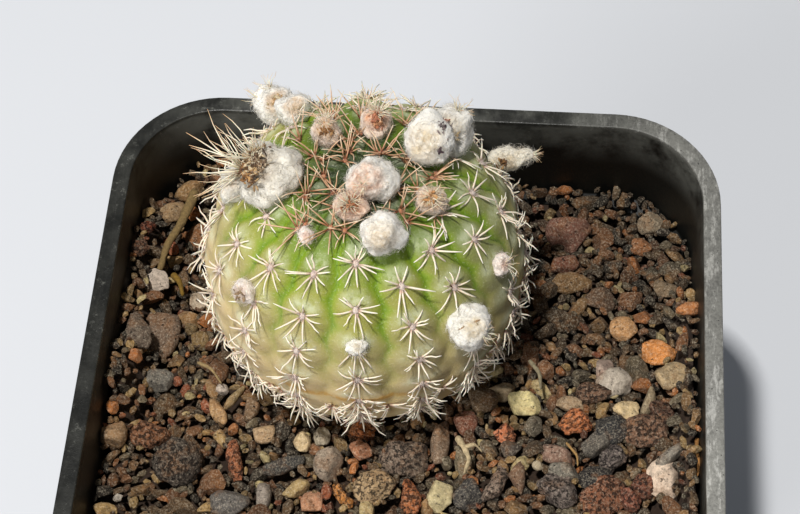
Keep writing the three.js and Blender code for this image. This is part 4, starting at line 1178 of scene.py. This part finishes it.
def make_buds(finishes):
    """Each bud or fruit: its lobes of tangled wool, in one piece for its node."""
    for seed, (node, (kind, lobes)) in enumerate(WOOL.items()):
        blush_at, blush_reach, blush = BLUSH[node]
        parts = []
        for number, lobe in enumerate(lobes):
            parts += make_wool_lobe(50 + 10 * seed + number, lobe, TAPER.get(node, 0), blush_at, blush_reach)
        wool = join(parts)
        choose(wool)
        bpy.ops.object.shade_smooth()
        name = node.replace("bud_", "woolly_bud_").replace("fruit_", "dry_fruit_")
        finish = wool_fibre(name + "_wool", *finishes[kind], blush)
        dress(wool, name, finish, [node])


def on_lobe(node, number, at):
    """The place on a lobe's skin in a direction from its middle, and that direction."""
    basis, centre, half = lobe_basis(*WOOL[node][1][number])
    out = direction_to(at)
    return centre + out / np.linalg.norm(basis @ out / half), out


def make_remains(finish):
    """Crumpled bits of dried flower that stick in the wool."""
    draw = np.random.default_rng(71)
    centres, tints = [], []
    for node, number, at, stray, count, colours in REMAINS:
        basis, middle, half = lobe_basis(*WOOL[node][1][number])
        place, out = on_lobe(node, number, at)
        side = unit(np.cross(out, (0.0, 1.0, 0.3)))
        up = np.cross(side, out)
        for _ in range(count):
            turn = draw.uniform(0, 2 * math.pi)
            reach = draw.normal(0, stray) * MM
            strayed = unit(place + (side * math.cos(turn) + up * math.sin(turn)) * reach - middle)
            skin = middle + strayed / np.linalg.norm(basis @ strayed / half)
            centres.append(skin + strayed * draw.uniform(-0.1, 0.2) * MM)
            tints.append(linear(colours[draw.integers(0, len(colours))]))
    centres = np.array(centres)
    count = len(centres)
    stretch = draw.uniform((1.6, 0.7, 0.4), (2.8, 1.2, 0.7), (count, 3))
    half_sizes = draw.uniform(0.09, 0.2, (count, 1)) * MM * stretch
    matrices = tumbled(draw, centres, half_sizes, 1.2)
    bits = [broken_stone(500 + kind, 1, 4) for kind in range(5)]
    made = copies(bits, draw.integers(0, len(bits), count), matrices, tints=np.array(tints), smoothed=False)
    dress(made, "dry_flower_remains", finish)


def make_bristles(finish):
    """Straw-coloured bristles that fan out of the buds and fruits."""
    draw = np.random.default_rng(83)
    roots, directions, lengths = [], [], []
    for node, number, at, aim, fan, length, count in BRISTLES:
        skin, leaving = on_lobe(node, number, at)
        start = skin - leaving * 0.4 * MM
        out, down, side = surface_frame(np.array((90 - aim[0]) * DEGREE), np.array(aim[1] * DEGREE))
        opening = np.sqrt(draw.random((count, 1))) * fan * DEGREE
        turn = draw.uniform(0, 2 * math.pi, (count, 1))
        flat = down * np.cos(turn) + side * np.sin(turn)
        directions.append(out * np.cos(opening) + flat * np.sin(opening))
        roots.append(start + flat * draw.uniform(0, 0.16 * length, (count, 1)) * MM)
        lengths.append(length * draw.uniform(0.45, 1.1, count) * MM)
    roots, directions, lengths = (np.concatenate(values) for values in (roots, directions, lengths))
    lengths = held_below_top(roots, directions, lengths)
    count = len(roots)
    bristle = needle_shape(BRISTLE_BASE, BRISTLE_TAPER, (0.0, 0.12, 0.2, 0.2))
    wire = needle_shape(BRISTLE_BASE, BRISTLE_TAPER, (0.1, -0.25, 0.45, -0.4))
    picks = (draw.random(count) < 0.4).astype(int)
    matrices = standing(roots, directions, draw.normal(size=(count, 3)), lengths)
    radii = np.clip(0.02 * MM + 0.012 * lengths, 0.03 * MM, 0.085 * MM)
    matrices[:, :3, :2] *= (radii / (BRISTLE_BASE * lengths))[:, None, None]
    made = copies([bristle, wire], picks, matrices, shades=np.clip(draw.normal(0.25, 0.2, count), 0, 1))
    dress(made, "bud_bristles", finish)


def clear_of_wool(points, margin):
    """Whether each point lies outside every lobe by a margin."""
    clear = np.ones(len(points), bool)
    for _, lobes in WOOL.values():
        for lobe in lobes:
            basis, centre, half = lobe_basis(*lobe)
            local = (points - centre) @ basis.T / (half + margin)
            clear &= np.linalg.norm(local, axis=1) > 1
    return clear


def held_below_top(roots, directions, lengths):
    """Lengths, cut where a tip would rise above the height that spines may reach."""
    return np.minimum(lengths, (TOP - roots[:, 2]) / np.maximum(directions[:, 2], 0.05))


def crown_places():
    """Angle and longitude of the young areoles crowded on the crown, spread by the golden angle."""
    index = np.arange(YOUNG_AREOLES)
    return np.stack([CROWN_EDGE * np.sqrt((index + 0.5) / YOUNG_AREOLES), index * GOLDEN_ANGLE], axis=1)


def base_places():
    """Angle and longitude of the old areoles crowded round the base."""
    index = np.arange(OLD_AREOLES)
    angle = OLD_AREOLES_FROM + OLD_AREOLES_SPAN * (index * 0.618 % 1)
    return np.stack([angle, index * GOLDEN_ANGLE], axis=1)


# The stars of spines by their place on the stem: least and most number, how far round the areole they
# spread in degrees, lean out of the skin in degrees, length in millimetres
STARS = {
    "crown": ((8, 12), 360, (16, 66), (2.0, 3.7)),
    "young": ((6, 10), 360, (20, 76), (1.4, 3.2)),
    "side": ((9, 13), 360, (6, 42), (1.5, 2.7)),
    "low": ((10, 14), 270, (4, 48), (1.6, 2.6)),
    "old": ((6, 10), 300, (2, 46), (1.3, 2.3)),
}


def make_spines(finishes):
    """A star of spines on every areole: tangled at the crown, uneven on the side, a fan below."""
    draw = np.random.default_rng(17)
    roots, directions, bends, lengths, crowned = [], [], [], [], []
    places = [(angle, longitude, None) for angle, longitude in areole_places()]
    places += [(angle, longitude, "young") for angle, longitude in crown_places()]
    places += [(angle, longitude, "old") for angle, longitude in base_places()]
    for angle, longitude, kind in places:
        out, down, side = surface_frame(np.array(angle), np.array(longitude))
        centre = STEM_CENTRE + out * (stem_envelope(angle) - 0.1 * MM)
        kind = kind or ("crown" if angle < CROWN_EDGE else "low" if angle > LOW_SPINES_FROM else "side")
        (least, most), spread, lean_range, length_range = STARS[kind]
        count = draw.integers(least, most)
        phase = draw.uniform(0, 2 * math.pi) if spread == 360 else (1 / count - 1) * spread * DEGREE / 2
        vigour = draw.uniform(0.88, 1.1)
        stronger_side = draw.normal(0, 1.0)
        for index in range(count):
            turn = phase + index * spread * DEGREE / count + draw.normal(0, 0.26)
            lean = draw.uniform(*lean_range) * DEGREE
            flat = down * math.cos(turn) + side * math.sin(turn)
            roots.append(centre + flat * 0.17 * MM)
            directions.append(out * math.sin(lean) + flat * math.cos(lean))
            bends.append(side * draw.normal(0, 0.5) - out)
            lopsided = 1 + 0.16 * math.cos(turn - stronger_side)
            lengths.append(draw.uniform(*length_range) * vigour * lopsided * MM)
            crowned.append(kind in ("crown", "young"))
    roots, directions, bends, lengths, crowned = map(np.array, (roots, directions, bends, lengths, crowned))
    lengths = held_below_top(roots, directions, lengths)
    tips = roots + directions * lengths[:, None] * 0.8
    clear = clear_of_wool(roots, 0.1 * MM) & clear_of_wool(tips, -0.2 * MM)
    for name, chosen, radius in (
        ("spines", clear & ~crowned, 0.104 * MM),
        ("crown_spines", clear & crowned, 0.078 * MM),
    ):
        straight = needle_shape(SPINE_BASE, SPINE_TAPER, (0.0, 0.05, 0.1, 0.12))
        hooked = needle_shape(SPINE_BASE, SPINE_TAPER, (0.0, 0.12, 0.3, 0.4))
        kinked = needle_shape(SPINE_BASE, SPINE_TAPER, (0.1, -0.15, -0.3, 0.5))
        count = int(chosen.sum())
        picks = draw.choice(3, count, p=(0.35, 0.35, 0.3))
        matrices = standing(roots[chosen], directions[chosen], bends[chosen], lengths[chosen])
        matrices[:, :3, :2] *= (radius / (SPINE_BASE * lengths[chosen]))[:, None, None]
        shades = np.clip(draw.normal(0.2, 0.25, count), 0, 1)
        made = copies([straight, hooked, kinked], picks, matrices, shades=shades)
        dress(made, name, finishes[name])


def make_areole_felt(finishes):
    """A small cushion of short felt under each star of spines but the oldest, orange at the crown."""
    draw = np.random.default_rng(29)
    places = np.concatenate([areole_places(), crown_places()])
    for name, chosen, size in (
        ("areole_felt", places[:, 0] >= CROWN_EDGE, 0.85),
        ("crown_areole_felt", places[:, 0] < CROWN_EDGE, 0.6),
    ):
        out, down, side = surface_frame(places[chosen, 0], places[chosen, 1])
        centres = STEM_CENTRE + out * stem_envelope(places[chosen, 0])[:, None]
        clear = clear_of_wool(centres, 0)
        out, down, side, centres = out[clear], down[clear], side[clear], centres[clear]
        pad = add(bpy.ops.mesh.primitive_ico_sphere_add, subdivisions=2, radius=1)
        seats = np.zeros((len(centres), 4, 4))
        seats[:, :3, :3] = np.stack([down * 0.46, side * 0.34, out * 0.2], axis=2) * size * MM
        seats[:, :3, 3] = centres
        pads = copies([pad], np.zeros(len(centres), int), seats, shades=draw.random(len(centres)))
        turns = draw.uniform(0, 2 * math.pi, (len(centres), HAIRS_PER_AREOLE, 1))
        spread = np.sqrt(draw.random((len(centres), HAIRS_PER_AREOLE, 1))) * 0.38 * size * MM
        flat = down[:, None] * np.cos(turns) * 1.3 + side[:, None] * np.sin(turns)
        roots = (centres[:, None] + out[:, None] * 0.05 * MM + flat * spread).reshape(-1, 3)
        directions = unit(out[:, None] * 0.8 + flat * 0.8 + draw.normal(0, 0.3, flat.shape)).reshape(-1, 3)
        count = len(roots)
        hair = needle_shape(0.07, (0.4,), (0.1,), sides=3)
        tall = draw.uniform(0.3, 0.6, count) * size * MM
        matrices = standing(roots, directions, draw.normal(size=(count, 3)), tall)
        hairs = copies([hair], np.zeros(count, int), matrices, shades=draw.random(count))
        felt = join([pads, hairs])
        carry(felt, "blush", np.zeros(len(felt.data.vertices)))
        dress(felt, name, finishes[name])


def scattered(draw, half_width, tries, sizes, taken, spacing):
    """Places and sizes of stones thrown on the gravel one by one, kept where they find room."""
    places = [np.array([x, y]) for x, y, _ in taken]
    reaches = [reach for _, _, reach in taken]
    kept = []
    for _ in range(tries):
        size = draw.uniform(*sizes) * MM
        x, y = draw.uniform(-half_width, half_width, 2)
        bound = half_width - max(0.5 * size, GRAIN_STRETCH * size - 0.7 * MM)
        corner = np.maximum(np.abs([x, y]) - (bound - BED_CORNER_RADIUS), 0)
        if max(abs(x), abs(y)) > bound or np.linalg.norm(corner) > BED_CORNER_RADIUS:
            continue
        if places:
            gaps = np.linalg.norm(np.array(places) - (x, y), axis=1) - spacing * (np.array(reaches) + size)
            if gaps.min() < 0:
                continue
        places.append(np.array([x, y]))
        reaches.append(size)
        kept.append((x, y, size))
    return kept


def make_grains(finish):
    """Loose gravel in three sizes: large grains on top, smaller ones in the gaps between them."""
    draw = np.random.default_rng(GRAVEL_SEED)
    half = wall_half_width(SOIL_FRONT) - WALL
    laid = [(x * MM, y * MM, (size[0] + size[1]) / 4 * MM) for _, (x, y), size, *_ in LOOSE_STONES]
    for node in NODE_STONES:
        low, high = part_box(node)
        laid.append(((low.x + high.x) / 2, (low.y + high.y) / 2, (high.x - low.x + high.y - low.y) / 4))
    large = scattered(draw, half, 700, (1.0, 1.8), laid, 0.84)
    medium = scattered(draw, half, 7000, (0.5, 0.95), laid + large, 0.78)
    small = scattered(draw, half, 17000, (0.26, 0.52), laid + large + medium, 0.62)
    # Grains, how deep they sink in millimetres, how many cuts shape them, and their lightness, which darkens
    # the smaller grains lying in the gaps as painted shade
    layers = (
        ("large_grains", large, 0.5, 9, 1.08),
        ("medium_grains", medium, 0.6, 7, 0.9),
        ("gravel_crumbs", small, 0.85, 3, 0.72),
    )
    for name, group, sink, cuts, lightness_with_gap_shade in layers:
        x, y, size = np.array(group).T
        z = soil_top(x, y) + GRAVEL_TOP - size * 0.45 - sink * MM + draw.normal(0, 0.3, len(x)) * MM
        centres = np.stack([x, y, z], axis=1)
        clear = np.linalg.norm(centres - STEM_CENTRE, axis=1) > STEM_RADIUS + size * 0.75
        centres, size = centres[clear], size[clear]
        count = len(size)
        stretch = np.stack([
            draw.uniform(1.0, GRAIN_STRETCH, count),
            draw.uniform(0.7, 1.0, count),
            draw.uniform(0.55, 1.0, count),
        ], axis=1)
        matrices = tumbled(draw, centres, size[:, None] * stretch, 0.5)
        shapes = [broken_stone(300 + kind, 1 if cuts < 7 else 2, cuts) for kind in range(12)]
        codes = list(GRAIN_TINTS)
        weights = np.array(list(GRAIN_TINTS.values()), float)
        tints = np.array([linear(code) for code in codes])
        tints = tints[draw.choice(len(codes), count, p=weights / weights.sum())]
        # Painted shade: the grains darkened on the right, and most behind on the right
        gravel_shade = painted_gravel_shade(centres[:, :1], centres[:, 1:2])
        # The lightness darkens the medium grains and crumbs, which lie low in the gaps, as painted shade
        tints[:, :3] *= draw.uniform(0.5, 1.35, (count, 1)) * gravel_shade * lightness_with_gap_shade * (1.04, 1.0, 0.8)
        made = copies(shapes, draw.integers(0, len(shapes), count), matrices, tints=tints, smoothed=False)
        dress(made, name, finish)


def make_stage():
    """A plain pale floor."""
    floor = add(bpy.ops.mesh.primitive_plane_add, size=3, location=(0, 0, 0))
    finish = Finish("pale_floor", {"Roughness": 0.7})
    finish.surface("Base Color", linear("#d0d3d8"))
    floor.name = "floor"
    floor.data.materials.append(finish.material)


def add_light(name, direction, distance, size, power, colour):
    """A square area light that faces the pot from a direction."""
    data = bpy.data.lights.new(name, "AREA")
    data.size = size
    data.energy = power
    data.color = colour
    light = bpy.data.objects.new(name, data)
    direction = Vector(direction).normalized()
    light.location = direction * distance + Vector((0, 0, POT_HEIGHT))
    light.rotation_mode = "QUATERNION"
    light.rotation_quaternion = direction.to_track_quat("Z", "Y")
    bpy.context.scene.collection.objects.link(light)


def make_lights():
    """Soft studio light: one small lamp overhead, a broad one at the front left, and a pale room."""
    for lamp in LAMPS:
        add_light(*lamp)
    world = bpy.data.worlds.new("pale_room")
    world.use_nodes = True
    background = world.node_tree.nodes["Background"]
    background.inputs["Color"].default_value = ROOM_COLOUR
    background.inputs["Strength"].default_value = ROOM_STRENGTH
    bpy.context.scene.world = world
    bpy.context.scene.view_settings.view_transform = "Standard"


def make_camera():
    """A camera at the photograph's place."""
    data = bpy.data.cameras.new("photo_camera")
    data.lens = CAMERA_LENS
    data.sensor_width = 36
    data.clip_start = 0.01
    camera = bpy.data.objects.new("photo_camera", data)
    azimuth, elevation = CAMERA_AZIMUTH, CAMERA_ELEVATION
    back = Vector((
        math.sin(azimuth) * math.cos(elevation),
        -math.cos(azimuth) * math.cos(elevation),
        math.sin(elevation),
    ))
    right = Vector((0, 0, 1)).cross(back).normalized()
    up = back.cross(right)
    level = Matrix((right, up, back)).transposed().to_4x4()
    turned = level @ Matrix.Rotation(CAMERA_ROLL, 4, "Z")
    camera.matrix_world = Matrix.Translation(CAMERA_PLACE) @ turned
    bpy.context.scene.collection.objects.link(camera)
    bpy.context.scene.camera = camera


stone_finishes = {
    "fine": stone_surface("dull_stone", 0.35 * MM, 0.3, 0.35 * MM),
    "porous": stone_surface("porous_stone", 0.38 * MM, 0.4, 0.55 * MM),
}
# Light and dark of each wool, and how strongly its darker patches show
wool_tones = {
    "white": ("#fffaf0", "#e2d6bf", 0.35),
    "grey": ("#f0eadc", "#c9bda4", 0.45),
    "cream": ("#fbf3e0", "#cfb78f", 0.45),
    "pink": ("#fdf1e6", "#dca788", 0.5),
    "brown": ("#fae8d6", "#d3a485", 0.55),
}
felt_finishes = {
    "areole_felt": wool_fibre("areole_felt", "#e6d2c4", "#b08a7e", 0.4, "#b08a7e"),
    "crown_areole_felt": wool_fibre("crown_areole_felt", "#c98a62", "#9a4a26", 0.4, "#9a4a26"),
}
spine_finishes = {
    "spines": spine_horn("cream_spine", "#cba490", "#ebdfc9", "#faf3e4"),
    "crown_spines": spine_horn("reddish_spine", "#b06c46", "#d0a986", "#ecdcc2"),
}

make_camera()
make_stage()
make_lights()
make_pot(pot_plastic())
make_bed(gravel_dust())
make_node_stones(stone_finishes)
make_loose_stones(stone_finishes)
make_grains(stone_finishes["fine"])
make_twigs(dead_plant("dry_root"))
make_stem(stem_skin())
make_spines(spine_finishes)
make_areole_felt(felt_finishes)
make_buds(wool_tones)
make_remains(dead_plant("dry_flower"))
make_bristles(spine_horn("straw_bristle", "#d3c6a4", "#ebe3cb", "#dcb184"))
